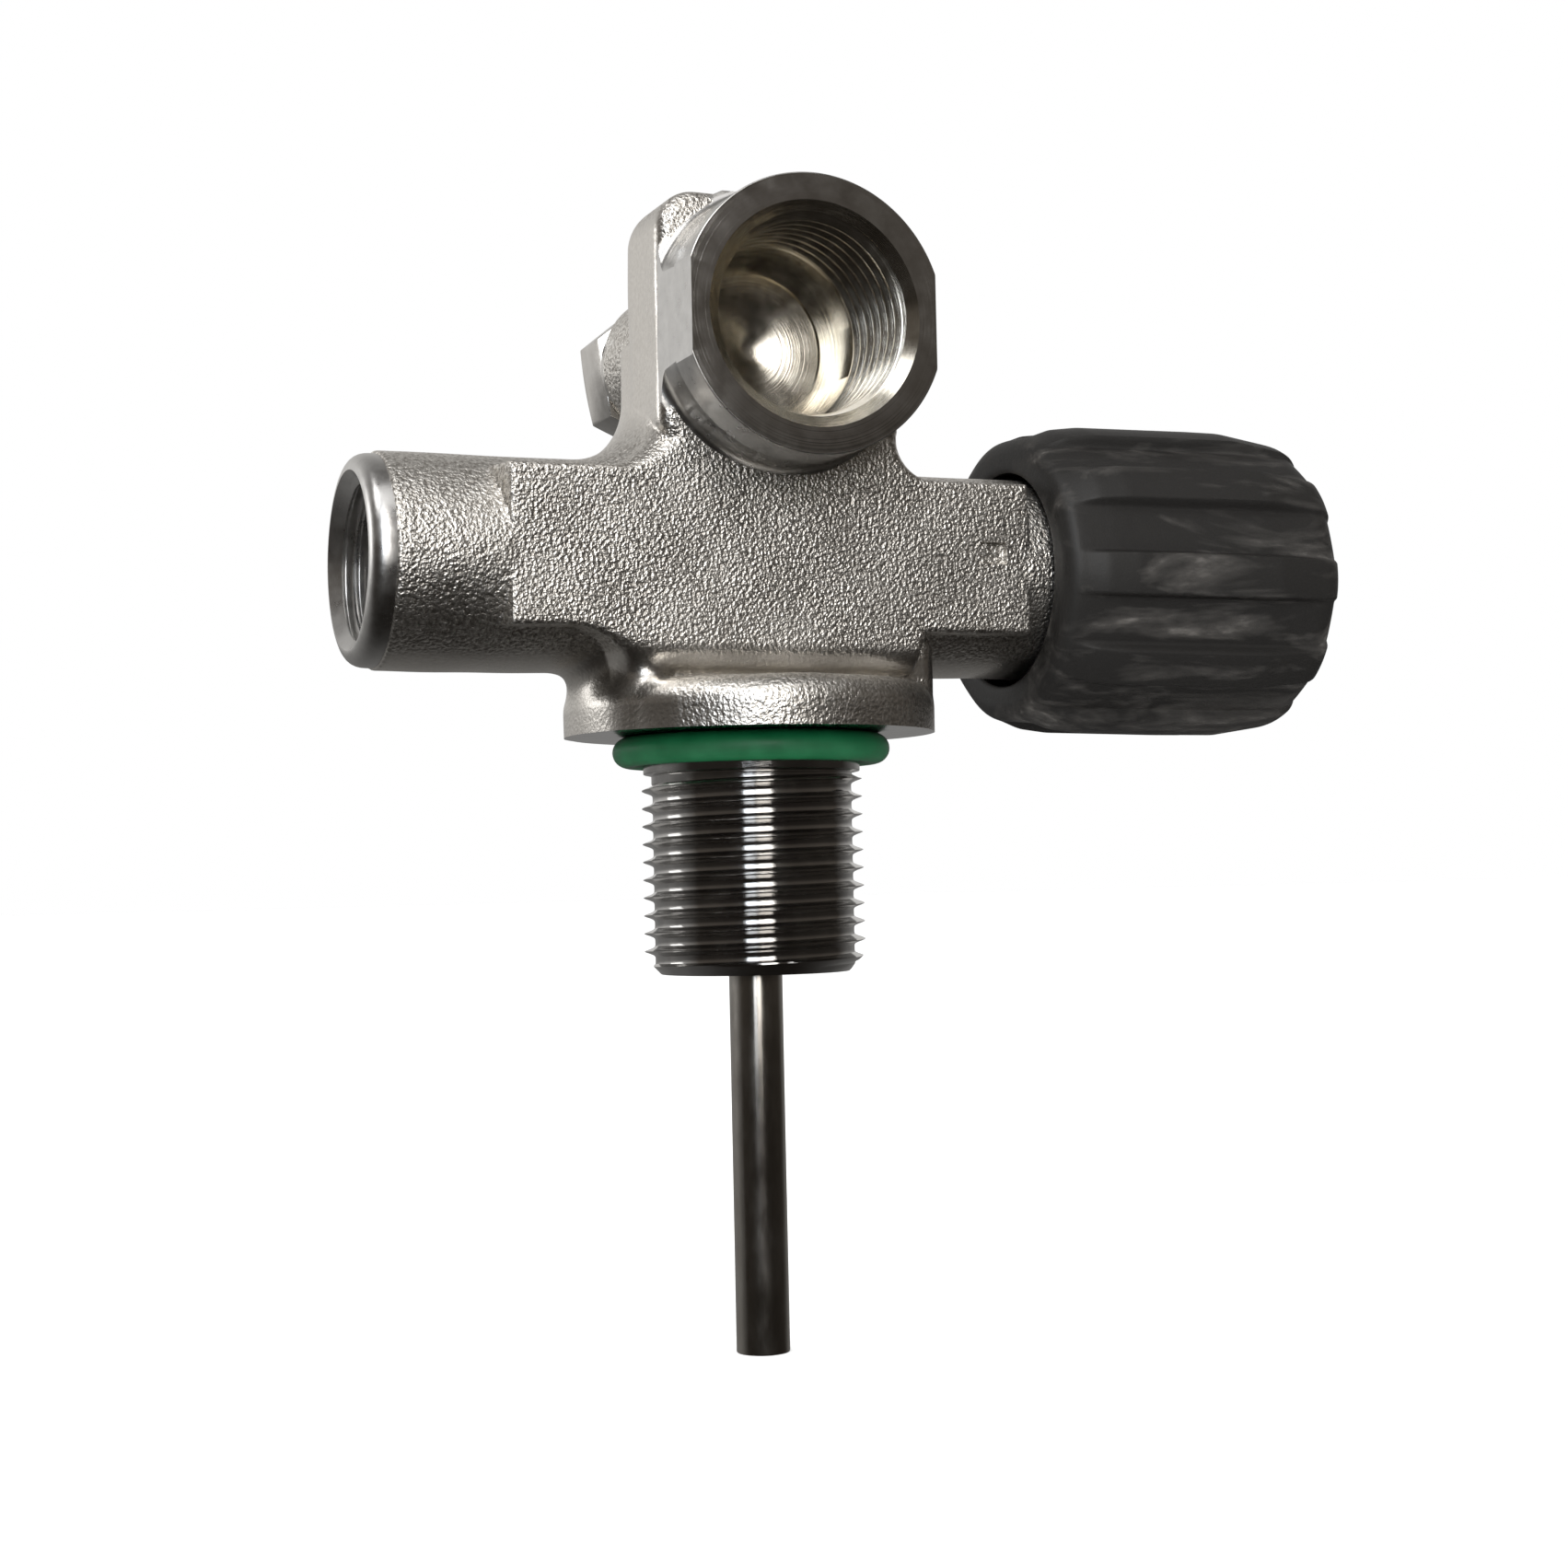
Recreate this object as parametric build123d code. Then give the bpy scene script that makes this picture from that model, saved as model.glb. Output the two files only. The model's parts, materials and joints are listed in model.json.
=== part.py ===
from build123d import *
import math
import os

# Scuba cylinder valve: a chromed brass body with a threaded neck, a threaded outlet facing -Y, an open
# side port facing -X and a rubber handwheel on +X. Millimetres, +Z up.
# The origin is the centre of the neck flange's underside, where the valve meets the cylinder.

# ---------------------------------------------------------------- neck and dip tube
neck_crest_r = 12.4  # M25 x 2, crest of the external thread
neck_root_r = 11.2
neck_pitch = 2.0
neck_thread_top = -5.2
neck_turns = 10
neck_land_r = 12.2  # plain land that carries the O-ring
neck_bottom = -26.6
neck_tip_r = 10.4
flange_r = 20.7
flange_top = 4.7
neck_ring_wire = 3.4
tube_r = 3.0
tube_bore_r = 2.0
tube_bottom = -68.9
tube_depth = 9.0  # length held inside the neck
riser_r = 2.4  # gas passage up the neck

# ---------------------------------------------------------------- barrel, along X
barrel_z = 18.5
barrel_r = 11.71
barrel_left = -45.7
barrel_turned_r = 11.45  # the port's end is turned to this radius
barrel_turned_end = -43.2
barrel_right = 36.0
pad_left = -31.0
pad_right = 29.8
pad_y = 11.3  # the flat pads stand at +-pad_y
block_top = 30.4
block_bottom = 6.8
block_corner = 3.4
saddle_r = 5.5  # concave radius between the block and the head

# ---------------------------------------------------------------- side port, M18 x 1.5
port_crest_r = 8.19
port_root_r = 9.0
port_pitch = 1.5
port_turns = 9
port_lead = 1.4
port_floor = -28.6
port_mouth_r = 9.6

# ---------------------------------------------------------------- outlet, G5/8 (14 threads per inch)
head_z = 43.5
head_half = 14.1
head_top = 58.0
head_corner = 4.2
head_front = -16.5
head_rear = 5.0
head_rear_round = 3.9
ring_r = 14.93
ring_face = -21.0
outlet_crest_r = 10.3
outlet_root_r = 11.46
outlet_pitch = 25.4 / 14
outlet_turns = 6
outlet_mouth_r = 12.07
outlet_lead = 1.9
outlet_floor = -2.5  # sealing face
outlet_step_r = 8.4
outlet_apex = -0.4
dimple_x = 26.5
dimple_z = 20.0

# ---------------------------------------------------------------- burst disc plug, facing +Y
plug_z = 46.4
boss_r = 8.8
boss_face = 24.0
plug_thread_r = 6.0
plug_socket = 14.5  # depth reached by the socket
drill_r = 1.3  # drilling that brings cylinder pressure to the disc
drill_x = -4.0
drill_y = 1.6
plug_hex_flats = 16.4
plug_hex_start = 25.0
plug_hex_end = 32.5
plug_hex_turn = 9.0  # degrees
washer_r = 8.5
disc_thickness = 0.4

# ---------------------------------------------------------------- spindles and seat, along X
chamber_floor = 3.5
nozzle_tip = 5.5
nozzle_r = 3.4
nozzle_bore_r = 2.2
chamber_r = 8.0
chamber_end = 8.0
carrier_r = 6.95  # lower spindle, M14 x 1.5
carrier_left = 6.2
carrier_right = 17.0
seat_r = 4.2
seat_thickness = 2.2
seat_gap = 0.05
slot_width = 3.2
slot_floor = 9.7
tongue_thickness = 3.0
tongue_width = 10.0
tongue_tip = 14.0
bonnet_seat = 21.0  # shoulder in the barrel that the bonnet closes against
collar_left = 23.0
collar_right = 25.5
collar_r = 6.2
thrust_right = 26.7
shaft_r = 4.0
square_left = 43.0
square_right = 50.4
square_side = 5.6
spindle_end = 64.0
spindle_tail_r = 3.0  # M6 tail for the handwheel nut

# ---------------------------------------------------------------- bonnet
bonnet_r = 8.9  # M18 x 1.5
bonnet_nose_r = 7.4
bonnet_nose = 2.4
bonnet_hex_flats = 19.0
bonnet_hex_end = 41.0
bonnet_ring_wire = 1.5
shaft_groove_r = 2.8
shaft_groove_width = 1.6
shaft_grooves = (30.0, 33.4, 35.2)  # outer ring, inner ring, backup ring

# ---------------------------------------------------------------- handwheel
grip_left = 32.7
grip_right = 67.9
grip_groove_r = 17.2  # radius between the ribs
rib_height = 1.25
rib_count = 10
rib_width = 5.3
rib_angle = 21.5  # degrees from +Z to the first rib, turning about +X
rib_start = 36.8
grip_end_round = 4.5
grip_bore_r = 13.6
core_r = 14.0
core_left = 43.2
core_right = 63.0
core_floor = 50.2
core_recess_r = 10.5
grip_mouth_r = 11.2
slip_left = 41.15
slip_right = 43.0
slip_r = 9.0
spring_wire = 1.1
spring_r = 4.6
spring_turns = 4
spring_end = 57.2
cap_washer_thickness = 1.2
cap_washer_r = 7.2
nut_flats = 10.0
nut_thickness = 4.6

# ---------------------------------------------------------------- fits
running_gap = 0.05  # radial, between turning pieces
fixed_gap = 0.02  # radial, between pieces that stay together


def turned(profile, origin, direction):
    """Solid of revolution. The profile is a closed list of (radius, distance) along the direction."""
    outline = Polyline([(r, 0, t) for r, t in profile], close=True)
    solid = revolve(make_face(outline), Axis.Z, 360)
    return Plane(origin=origin, z_dir=direction) * solid


def along_x(profile):
    """Solid of revolution on the barrel axis, with distances given as X."""
    return turned(profile, (0, 0, barrel_z), (1, 0, 0))


def rod(radius, start, end):
    """Round bar between two points."""
    run = Vector(*end) - Vector(*start)
    bar = Cylinder(radius, run.length, align=(Align.CENTER, Align.CENTER, Align.MIN))
    return Plane(origin=start, z_dir=run) * bar


def ring_x(inner, outer, left, right):
    """Flat ring on the barrel axis."""
    return along_x([(inner, left), (outer, left), (outer, right), (inner, right)])


def o_ring(inner, wire, origin, direction):
    """Torus of the given inner radius and wire thickness, centred on origin."""
    return Plane(origin=origin, z_dir=direction) * Torus(inner + wire / 2, wire / 2)


def thread_points(crest, root, start, pitch, turns):
    """Zigzag of V grooves from start, going in the direction of pitch's sign."""
    points = []
    for turn in range(turns):
        base = start + turn * pitch
        points += [(crest, base), (crest, base + 0.16 * pitch)]
        points += [(root, base + 0.52 * pitch), (root, base + 0.64 * pitch)]
    last = start + turns * pitch
    return points + [(crest, last), (crest, last + 0.16 * pitch)]


def hexagon(flats, height, chamfer_depth):
    """Hexagonal prism from z=0 to height, its far corners turned away by a cone."""
    corner = flats / math.sqrt(3)
    prism = extrude(RegularPolygon(corner, 6), height)
    limit = turned(
        [
            (0, -1),
            (corner + 1, -1),
            (corner + 1, height - chamfer_depth),
            (flats / 2 - 0.3, height + 0.01),
            (0, height + 0.01),
        ],
        (0, 0, 0),
        (0, 0, 1),
    )
    return prism & limit


# ---------------------------------------------------------------- valve body
def neck_stem():
    """Threaded neck below the flange."""
    thread = thread_points(neck_crest_r, neck_root_r, neck_thread_top, -neck_pitch, neck_turns - 1)
    profile = [(0, 2), (neck_land_r, 2), (neck_land_r, -4.3), (neck_root_r, -4.3)]
    profile += [(neck_root_r, neck_thread_top + 0.4)] + thread
    profile += [(neck_tip_r, neck_bottom), (0, neck_bottom)]
    return turned(profile, (0, 0, 0), (0, 0, 1))


def forging():
    """Outer shape of the body above the neck."""
    flange = Cylinder(flange_r, flange_top, align=(Align.CENTER, Align.CENTER, Align.MIN))
    flange = fillet(flange.edges(), 0.7)
    waist_height = block_bottom + block_corner - 1
    waist = Pos(0, 0, waist_height / 2 + 1) * Box(34, 2 * pad_y - 2.4, waist_height)
    waist = fillet(waist.edges().filter_by(Axis.Z), 6)
    barrel = along_x(
        [
            (0, barrel_left),
            (barrel_turned_r - 0.9, barrel_left),
            (barrel_turned_r, barrel_left + 0.9),
            (barrel_turned_r, barrel_turned_end),
            (barrel_r, barrel_turned_end + 0.2),
            (barrel_r, barrel_right - 0.8),
            (barrel_r - 0.8, barrel_right),
            (0, barrel_right),
        ]
    )
    block_z = (block_top + block_bottom) / 2
    side = Pos((pad_right + pad_left) / 2, block_z) * Rectangle(
        pad_right - pad_left, block_top - block_bottom
    )
    block = extrude(Plane.XZ * side, pad_y, both=True)
    block = fillet(block.faces().sort_by(Axis.Y)[0].edges(), block_corner)
    block = fillet(block.faces().sort_by(Axis.Y)[-1].edges(), block_corner)
    pillar_z = (head_z + barrel_z) / 2
    side += Pos(0, pillar_z) * Rectangle(2 * head_half, head_z - barrel_z)
    inner = [v for v in side.vertices() if abs(abs(v.X) - head_half) < 0.1 and abs(v.Y - block_top) < 0.1]
    side = fillet(inner, saddle_r)
    saddle = Pos(0, head_rear, 0) * extrude(Plane.XZ * side, pad_y + head_rear)
    saddle = fillet(saddle.faces().sort_by(Axis.Y)[0].edges(), block_corner)
    head_height = head_top - head_z + head_half
    head = Pos(0, (head_front + head_rear) / 2, head_top - head_height / 2) * Box(
        2 * head_half, head_rear - head_front, head_height
    )
    head = fillet(head.edges().filter_by(Axis.Y), head_corner)
    head = fillet(head.faces().sort_by(Axis.Y)[0].edges(), 1.2)
    head = fillet(head.faces().sort_by(Axis.Y)[-1].edges(), head_rear_round)
    boss = turned(
        [
            (0, 0),
            (boss_r + 1.2, 0),
            (boss_r, boss_face - 5),
            (boss_r, boss_face - 1),
            (boss_r - 1, boss_face),
            (0, boss_face),
        ],
        (0, 0, plug_z),
        (0, 1, 0),
    )
    ring = turned(
        [(0, 0), (ring_r - 0.5, 0), (ring_r, 0.5), (ring_r, 6), (0, 6)], (0, ring_face, head_z), (0, 1, 0)
    )
    ring = ring & Pos(0, 0, head_z) * Box(2 * head_half, 60, 60)
    return neck_stem() + flange + waist + barrel + block + saddle + head + boss + ring


def body_hollows():
    """Ports, sockets and gas passages cut out of the body."""
    port = [(0, barrel_left - 1), (port_mouth_r + 1, barrel_left - 1)]
    port += thread_points(port_crest_r, port_root_r, barrel_left + port_lead, port_pitch, port_turns)
    port += [(port_crest_r, port_floor), (0, port_floor)]
    outlet = [(0, -1), (outlet_mouth_r + 1, -1), (outlet_mouth_r, 0)]
    outlet += thread_points(outlet_crest_r, outlet_root_r, outlet_lead, outlet_pitch, outlet_turns)
    depth = outlet_floor - ring_face
    apex = outlet_apex - ring_face
    outlet += [(outlet_crest_r, depth), (outlet_step_r, depth), (outlet_step_r, depth + 0.6)]
    outlet += [(0, apex)]
    seat = [
        (0, 0),
        (nozzle_bore_r, 0),
        (nozzle_bore_r, nozzle_tip),
        (nozzle_r - 0.4, nozzle_tip),
        (nozzle_r + 0.6, chamber_floor),
        (chamber_r, chamber_floor),
        (chamber_r, chamber_end),
        (carrier_r + running_gap, chamber_end),
        (carrier_r + running_gap, bonnet_seat),
        (bonnet_r + fixed_gap, bonnet_seat),
        (bonnet_r + fixed_gap, barrel_right - 1),
        (bonnet_r + 1, barrel_right),
        (bonnet_r + 1, barrel_right + 1),
        (0, barrel_right + 1),
    ]
    socket = turned(
        [
            (0, plug_socket),
            (plug_thread_r + fixed_gap, plug_socket),
            (plug_thread_r + fixed_gap, boss_face + 1),
            (0, boss_face + 1),
        ],
        (0, 0, plug_z),
        (0, 1, 0),
    )
    hollows = along_x(port) + along_x(seat)
    hollows += turned(outlet, (0, ring_face, head_z), (0, 1, 0)) + socket
    hollows += rod(tube_r + fixed_gap, (0, 0, neck_bottom - 1), (0, 0, neck_bottom + tube_depth))
    hollows += rod(riser_r, (0, 0, neck_bottom), (0, 0, barrel_z))
    hollows += rod(riser_r, (port_floor - 1, 0, barrel_z), (1, 0, barrel_z))
    # the burst disc sees cylinder pressure; the outlet is fed from the seat chamber
    hollows += rod(drill_r, (drill_x, drill_y, barrel_z), (drill_x, drill_y, plug_z + drill_r))
    hollows += rod(drill_r, (drill_x, drill_y, plug_z), (drill_x, plug_socket + 0.5, plug_z))
    hollows += rod(1.7, (5.8, 0, barrel_z + 5), (0, outlet_apex - 1, head_z))
    hollows += Pos(dimple_x, -pad_y, dimple_z) * Box(3.2, 1.0, 2.5)
    return hollows


def valve_body():
    """Chromed brass forging with all its machining."""
    return forging() - body_hollows()


# ---------------------------------------------------------------- pieces fixed to the body
def dip_tube():
    """Anti-debris tube pressed into the neck."""
    top = neck_bottom + tube_depth - 0.2
    return rod(tube_r, (0, 0, tube_bottom), (0, 0, top)) - rod(
        tube_bore_r, (0, 0, tube_bottom - 1), (0, 0, top + 1)
    )


def burst_plug():
    """Hexagon plug with a threaded shank and an axial vent."""
    shank = turned(
        [
            (0, plug_socket + disc_thickness + 0.1),
            (plug_thread_r - 0.8, plug_socket + disc_thickness + 0.1),
            (plug_thread_r, plug_socket + disc_thickness + 0.9),
            (plug_thread_r, plug_hex_start),
            (0, plug_hex_start),
        ],
        (0, 0, plug_z),
        (0, 1, 0),
    )
    head = hexagon(plug_hex_flats, plug_hex_end - plug_hex_start, 0.9)
    head = Plane(origin=(0, plug_hex_start, plug_z), x_dir=(-1, 0, 0), z_dir=(0, 1, 0)) * (
        Rot(0, 0, plug_hex_turn) * head
    )
    vent = rod(1.6, (0, plug_socket - 1, plug_z), (0, plug_hex_end + 1, plug_z))
    return shank + head - vent


def burst_washer():
    """Sealing washer under the plug's hexagon."""
    inner = plug_thread_r + fixed_gap
    outline = [(inner, boss_face), (washer_r, boss_face), (washer_r, plug_hex_start), (inner, plug_hex_start)]
    return turned(outline, (0, 0, plug_z), (0, 1, 0))


def burst_disc():
    """Thin copper disc clamped between the plug's end and the socket's floor."""
    start = (0, plug_socket, plug_z)
    return rod(plug_thread_r - 0.3, start, (0, plug_socket + disc_thickness, plug_z))


def bonnet_nut():
    """Gland nut that closes the barrel and guides the handwheel spindle."""
    shell = along_x(
        [
            (0, bonnet_seat + fixed_gap),
            (bonnet_nose_r, bonnet_seat + fixed_gap),
            (bonnet_nose_r, bonnet_seat + bonnet_nose),
            (bonnet_r, bonnet_seat + bonnet_nose),
            (bonnet_r, barrel_right),
            (0, barrel_right),
        ]
    )
    head = Plane(origin=(barrel_right, 0, barrel_z), x_dir=(0, 1, 0), z_dir=(1, 0, 0)) * hexagon(
        bonnet_hex_flats, bonnet_hex_end - barrel_right, 1.0
    )
    bore = along_x(
        [
            (0, bonnet_seat - 1),
            (collar_r + 0.2, bonnet_seat - 1),
            (collar_r + 0.2, thrust_right + 0.1),
            (shaft_r + running_gap, thrust_right + 0.1),
            (shaft_r + running_gap, bonnet_hex_end + 1),
            (0, bonnet_hex_end + 1),
        ]
    )
    return shell + head - bore


# ---------------------------------------------------------------- pieces that turn with the handwheel
def upper_spindle():
    """Handwheel spindle: tongue, thrust collar, sealed shaft, square drive and threaded tail."""
    shaft = [
        (0, collar_left),
        (collar_r, collar_left),
        (collar_r, collar_right),
        (shaft_r, collar_right),
    ]
    for start in shaft_grooves:
        end = start + shaft_groove_width
        shaft += [(shaft_r, start), (shaft_groove_r, start), (shaft_groove_r, end), (shaft_r, end)]
    shaft += [(shaft_r, square_left), (0, square_left)]
    square_mid = (square_left + square_right) / 2
    square = Pos(square_mid, 0, barrel_z) * Box(square_right - square_left, square_side, square_side)
    tail = along_x(
        [
            (0, square_right),
            (spindle_tail_r, square_right),
            (spindle_tail_r, spindle_end - 0.6),
            (spindle_tail_r - 0.6, spindle_end),
            (0, spindle_end),
        ]
    )
    tongue_mid = (tongue_tip + collar_left) / 2
    tongue = Pos(tongue_mid, 0, barrel_z) * Box(collar_left - tongue_tip, tongue_thickness, tongue_width)
    return along_x(shaft) + square + tail + tongue


def shaft_ring(position):
    """O-ring in one of the shaft's grooves."""
    wire = shaft_r - shaft_groove_r
    centre = (position + shaft_groove_width / 2, 0, barrel_z)
    return o_ring(shaft_groove_r, wire, centre, (1, 0, 0))


def lower_spindle():
    """Seat carrier: threads along the barrel, driven by the tongue in its slot."""
    carrier = along_x(
        [
            (0, carrier_left),
            (seat_r + 0.9, carrier_left),
            (seat_r + 0.9, carrier_left + 1.6),
            (carrier_r, carrier_left + 2.2),
            (carrier_r, carrier_right - 0.5),
            (carrier_r - 0.5, carrier_right),
            (0, carrier_right),
        ]
    )
    slot = Box(carrier_right - slot_floor + 1, slot_width, 2 * carrier_r + 1)
    slot = Pos((carrier_right + slot_floor + 1) / 2, 0, barrel_z) * slot
    pocket_floor = nozzle_tip + seat_gap + seat_thickness
    pocket = rod(seat_r, (carrier_left - 1, 0, barrel_z), (pocket_floor, 0, barrel_z))
    return carrier - slot - pocket


def soft_seat():
    """Nylon disc that closes the nozzle."""
    start = nozzle_tip + seat_gap
    return rod(seat_r - fixed_gap, (start, 0, barrel_z), (start + seat_thickness, 0, barrel_z))


def knob_core():
    """Hard core of the handwheel, with the square drive hole and the spring's recess."""
    core = along_x(
        [
            (0, core_left),
            (core_r, core_left),
            (core_r, core_right),
            (core_recess_r, core_right),
            (core_recess_r, core_floor),
            (0, core_floor),
        ]
    )
    side = square_side + 0.1
    hole = Pos((core_left + core_floor) / 2, 0, barrel_z) * Box(core_floor - core_left + 2, side, side)
    return core - hole


def knob_grip():
    """Ribbed rubber sleeve moulded over the core."""
    skirt_r = grip_groove_r - 0.6
    sleeve = along_x(
        [
            (grip_bore_r, grip_left + 0.6),
            (grip_bore_r + 0.8, grip_left),
            (skirt_r - 1.6, grip_left),
            (grip_groove_r, rib_start),
            (grip_groove_r, grip_right),
            (grip_mouth_r, grip_right),
            (grip_mouth_r, core_right + fixed_gap),
            (core_r + fixed_gap, core_right + fixed_gap),
            (core_r + fixed_gap, core_left - fixed_gap),
            (grip_bore_r, core_left - fixed_gap),
        ]
    )
    end_edge = [e for e in sleeve.edges() if abs(e.center().X - grip_right) < 0.01 and e.length > 90]
    sleeve = fillet(end_edge, grip_end_round)
    rib_out = grip_groove_r + rib_height
    wheel = along_x(
        [
            (grip_groove_r - 1.2, rib_start),
            (grip_groove_r, rib_start),
            (rib_out, rib_start + 3.2),
            (rib_out, grip_right),
            (grip_groove_r - 1.2, grip_right),
        ]
    )
    rim_edge = [e for e in wheel.edges() if abs(e.center().X - grip_right) < 0.01 and e.length > 110]
    wheel = fillet(rim_edge, 2.0)
    ribs = []
    for rib in range(rib_count):
        bar = Box(grip_right - rib_start, rib_width, 6)
        bar = Pos((grip_right + rib_start) / 2, 0, grip_groove_r + 1.8) * bar
        bar = fillet(bar.edges().filter_by(Axis.X), 0.6)
        ribs.append(Pos(0, 0, barrel_z) * (Rot(rib_angle + rib * 360 / rib_count, 0, 0) * bar))
    for bar in ribs:
        sleeve += wheel & bar
    return sleeve


def knob_spring():
    """Compression spring that holds the handwheel against the spindle's square."""
    height = spring_end - core_floor - spring_wire
    start = Location((core_floor + spring_wire / 2, 0, barrel_z), (0, 90, 0))
    path = start * Helix(pitch=height / spring_turns, height=height, radius=spring_r)
    section = Plane(origin=path @ 0, z_dir=path % 0) * Circle(spring_wire / 2)
    return sweep(section, path=path, is_frenet=True)


def knob_nut():
    """Hexagon nut on the spindle's tail."""
    start = spring_end + cap_washer_thickness
    nut = Plane(origin=(start, 0, barrel_z), x_dir=(0, 1, 0), z_dir=(1, 0, 0)) * hexagon(
        nut_flats, nut_thickness, 0.6
    )
    end = start + nut_thickness
    return nut - rod(spindle_tail_r + fixed_gap, (start - 1, 0, barrel_z), (end + 1, 0, barrel_z))


def neck_o_ring():
    """O-ring that seals the neck in the cylinder."""
    return o_ring(neck_land_r + fixed_gap, neck_ring_wire, (0, 0, -neck_ring_wire / 2 - fixed_gap), (0, 0, 1))


def bonnet_o_ring():
    """O-ring on the bonnet's nose."""
    centre = (bonnet_seat + bonnet_nose / 2, 0, barrel_z)
    return o_ring(bonnet_nose_r, bonnet_ring_wire, centre, (1, 0, 0))


nodes = {
    "valve_body": valve_body(),
    "neck_o_ring": neck_o_ring(),
    "dip_tube": dip_tube(),
    "burst_disc_plug": burst_plug(),
    "burst_disc_washer": burst_washer(),
    "burst_disc": burst_disc(),
    "bonnet_nut": bonnet_nut(),
    "bonnet_o_ring": bonnet_o_ring(),
    "upper_spindle": upper_spindle(),
    "spindle_thrust_washer": ring_x(shaft_r + fixed_gap, collar_r, collar_right, thrust_right),
    "spindle_o_ring_inner": shaft_ring(shaft_grooves[0]),
    "spindle_o_ring_outer": shaft_ring(shaft_grooves[1]),
    "spindle_backup_ring": ring_x(
        shaft_groove_r, shaft_r, shaft_grooves[2], shaft_grooves[2] + shaft_groove_width
    ),
    "lower_spindle": lower_spindle(),
    "soft_seat": soft_seat(),
    "knob_slip_washer": ring_x(shaft_r + fixed_gap, slip_r, slip_left + 0.15, slip_right),
    "knob_core": knob_core(),
    "knob_grip": knob_grip(),
    "knob_spring": knob_spring(),
    "knob_spring_washer": ring_x(
        spindle_tail_r + fixed_gap, cap_washer_r, spring_end, spring_end + cap_washer_thickness
    ),
    "knob_nut": knob_nut(),
}

os.makedirs("parts", exist_ok=True)
for name, solid in nodes.items():
    export_step(solid, f"parts/{name}.step")
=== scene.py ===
import bmesh
import bpy
import json
import math
import numpy as np
from mathutils import Matrix, Vector


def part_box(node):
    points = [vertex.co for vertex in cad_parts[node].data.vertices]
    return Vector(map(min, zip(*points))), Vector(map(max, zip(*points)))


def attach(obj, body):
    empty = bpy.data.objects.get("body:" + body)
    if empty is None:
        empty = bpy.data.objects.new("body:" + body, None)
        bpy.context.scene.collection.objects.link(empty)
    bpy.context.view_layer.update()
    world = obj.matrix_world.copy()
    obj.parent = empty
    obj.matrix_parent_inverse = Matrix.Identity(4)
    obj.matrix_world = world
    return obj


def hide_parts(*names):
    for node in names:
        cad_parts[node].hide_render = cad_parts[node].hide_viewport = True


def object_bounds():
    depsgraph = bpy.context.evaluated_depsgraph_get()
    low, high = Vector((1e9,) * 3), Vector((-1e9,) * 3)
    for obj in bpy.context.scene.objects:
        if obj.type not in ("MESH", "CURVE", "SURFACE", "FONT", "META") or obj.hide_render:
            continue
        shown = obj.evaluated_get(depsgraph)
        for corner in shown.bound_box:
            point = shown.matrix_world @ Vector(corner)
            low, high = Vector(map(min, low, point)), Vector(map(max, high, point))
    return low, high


# Scuba cylinder valve. Mesh code works in millimetres and hands Blender metres.
# +Z runs up the neck axis, the outlet faces -Y, the side port -X and the handwheel +X.
MM = 0.001

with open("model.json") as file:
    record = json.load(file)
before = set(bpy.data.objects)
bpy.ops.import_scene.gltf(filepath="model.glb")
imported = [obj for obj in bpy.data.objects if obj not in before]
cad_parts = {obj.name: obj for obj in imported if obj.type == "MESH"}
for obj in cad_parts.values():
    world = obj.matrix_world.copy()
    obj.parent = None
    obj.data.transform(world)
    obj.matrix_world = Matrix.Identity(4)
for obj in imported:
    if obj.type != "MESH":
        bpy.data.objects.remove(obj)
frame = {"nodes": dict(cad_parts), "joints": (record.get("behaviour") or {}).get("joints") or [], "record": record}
cad_low, cad_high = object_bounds()
mounts = {m["name"]: m for m in frame["record"]["mounts"]}
joints = {j["name"]: j for j in frame["joints"]}


def node_low(node):
    """Lowest corner of a CAD node, in millimetres."""
    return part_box(node)[0] / MM


def node_high(node):
    """Highest corner of a CAD node, in millimetres."""
    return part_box(node)[1] / MM


# ---- driving dimensions, millimetres
barrel_z = joints["knob_turn"]["pos_m"][2] / MM
barrel_left = node_low("valve_body").x
barrel_right = node_low("knob_slip_washer").x - 5.3
barrel_r = 11.71
turned_end_r = 11.4
turned_end = barrel_left + 2.6
barrel_end_round = 0.4
pad_y = 11.6
pad_left = -31.0
pad_right = 29.8
block_top = 30.2
pad_top = 28.0
pad_bottom = 10.9
belly_bottom = 6.2
belly_round = 3.2
belly_left = -24.0  # the pads' lower edge dips from here
belly_left_run = 10.0
belly_right = 15.5  # and rises again from here
belly_right_run = 1.5
pad_edge = 0.5
end_round = 0.25
end_draft = 0.3
saddle_left_r = 7.2
saddle_right_r = 4.2
pillar_half = 14.0
pillar_round = 4.2
pillar_right_round = 1.5
pillar_low_round = 0.4
pillar_root = pad_top - 3.0
column_round = 3.0
shelf_inset = 2.0  # the shelf behind the pillar stops this far inside the pads
shelf_end_round = 2.5
rear_fillet = 3.0
flange_r = 20.7
flange_top = 5.6
flange_round = 3.0
foot_half = 8.5
foot_round = 1.0
foot_left = -11.0  # the foot blends into the barrel from here to the left
foot_left_run = 8.0
foot_inset = 2.6
foot_fillet = 4.0
foot_crease = 0.05
flange_crease = 0.5
under_cut = -1.0  # the forging ends here, below the machined underside at 0
head_z = mounts["outlet"]["pos_m"][2] / MM
head_half = 14.2
head_top = node_high("valve_body").z
head_corner = 4.6
head_front = -11.6
head_front_round = 1.6
head_rear = 4.5
head_rear_round = 7.4
milled_half = 14.1
ring_face = node_low("valve_body").y
ring_r = 15.05
ring_depth = 9.6
ring_root = 1.4
plug_z = (node_low("burst_disc_plug").z + node_high("burst_disc_plug").z) / 2
boss_r = 8.8
boss_face = node_low("burst_disc_washer").y
boss_flare = 0.12
boss_root = head_rear + 6.0
boss_round = 0.8
boss_fillet = 2.0
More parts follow.
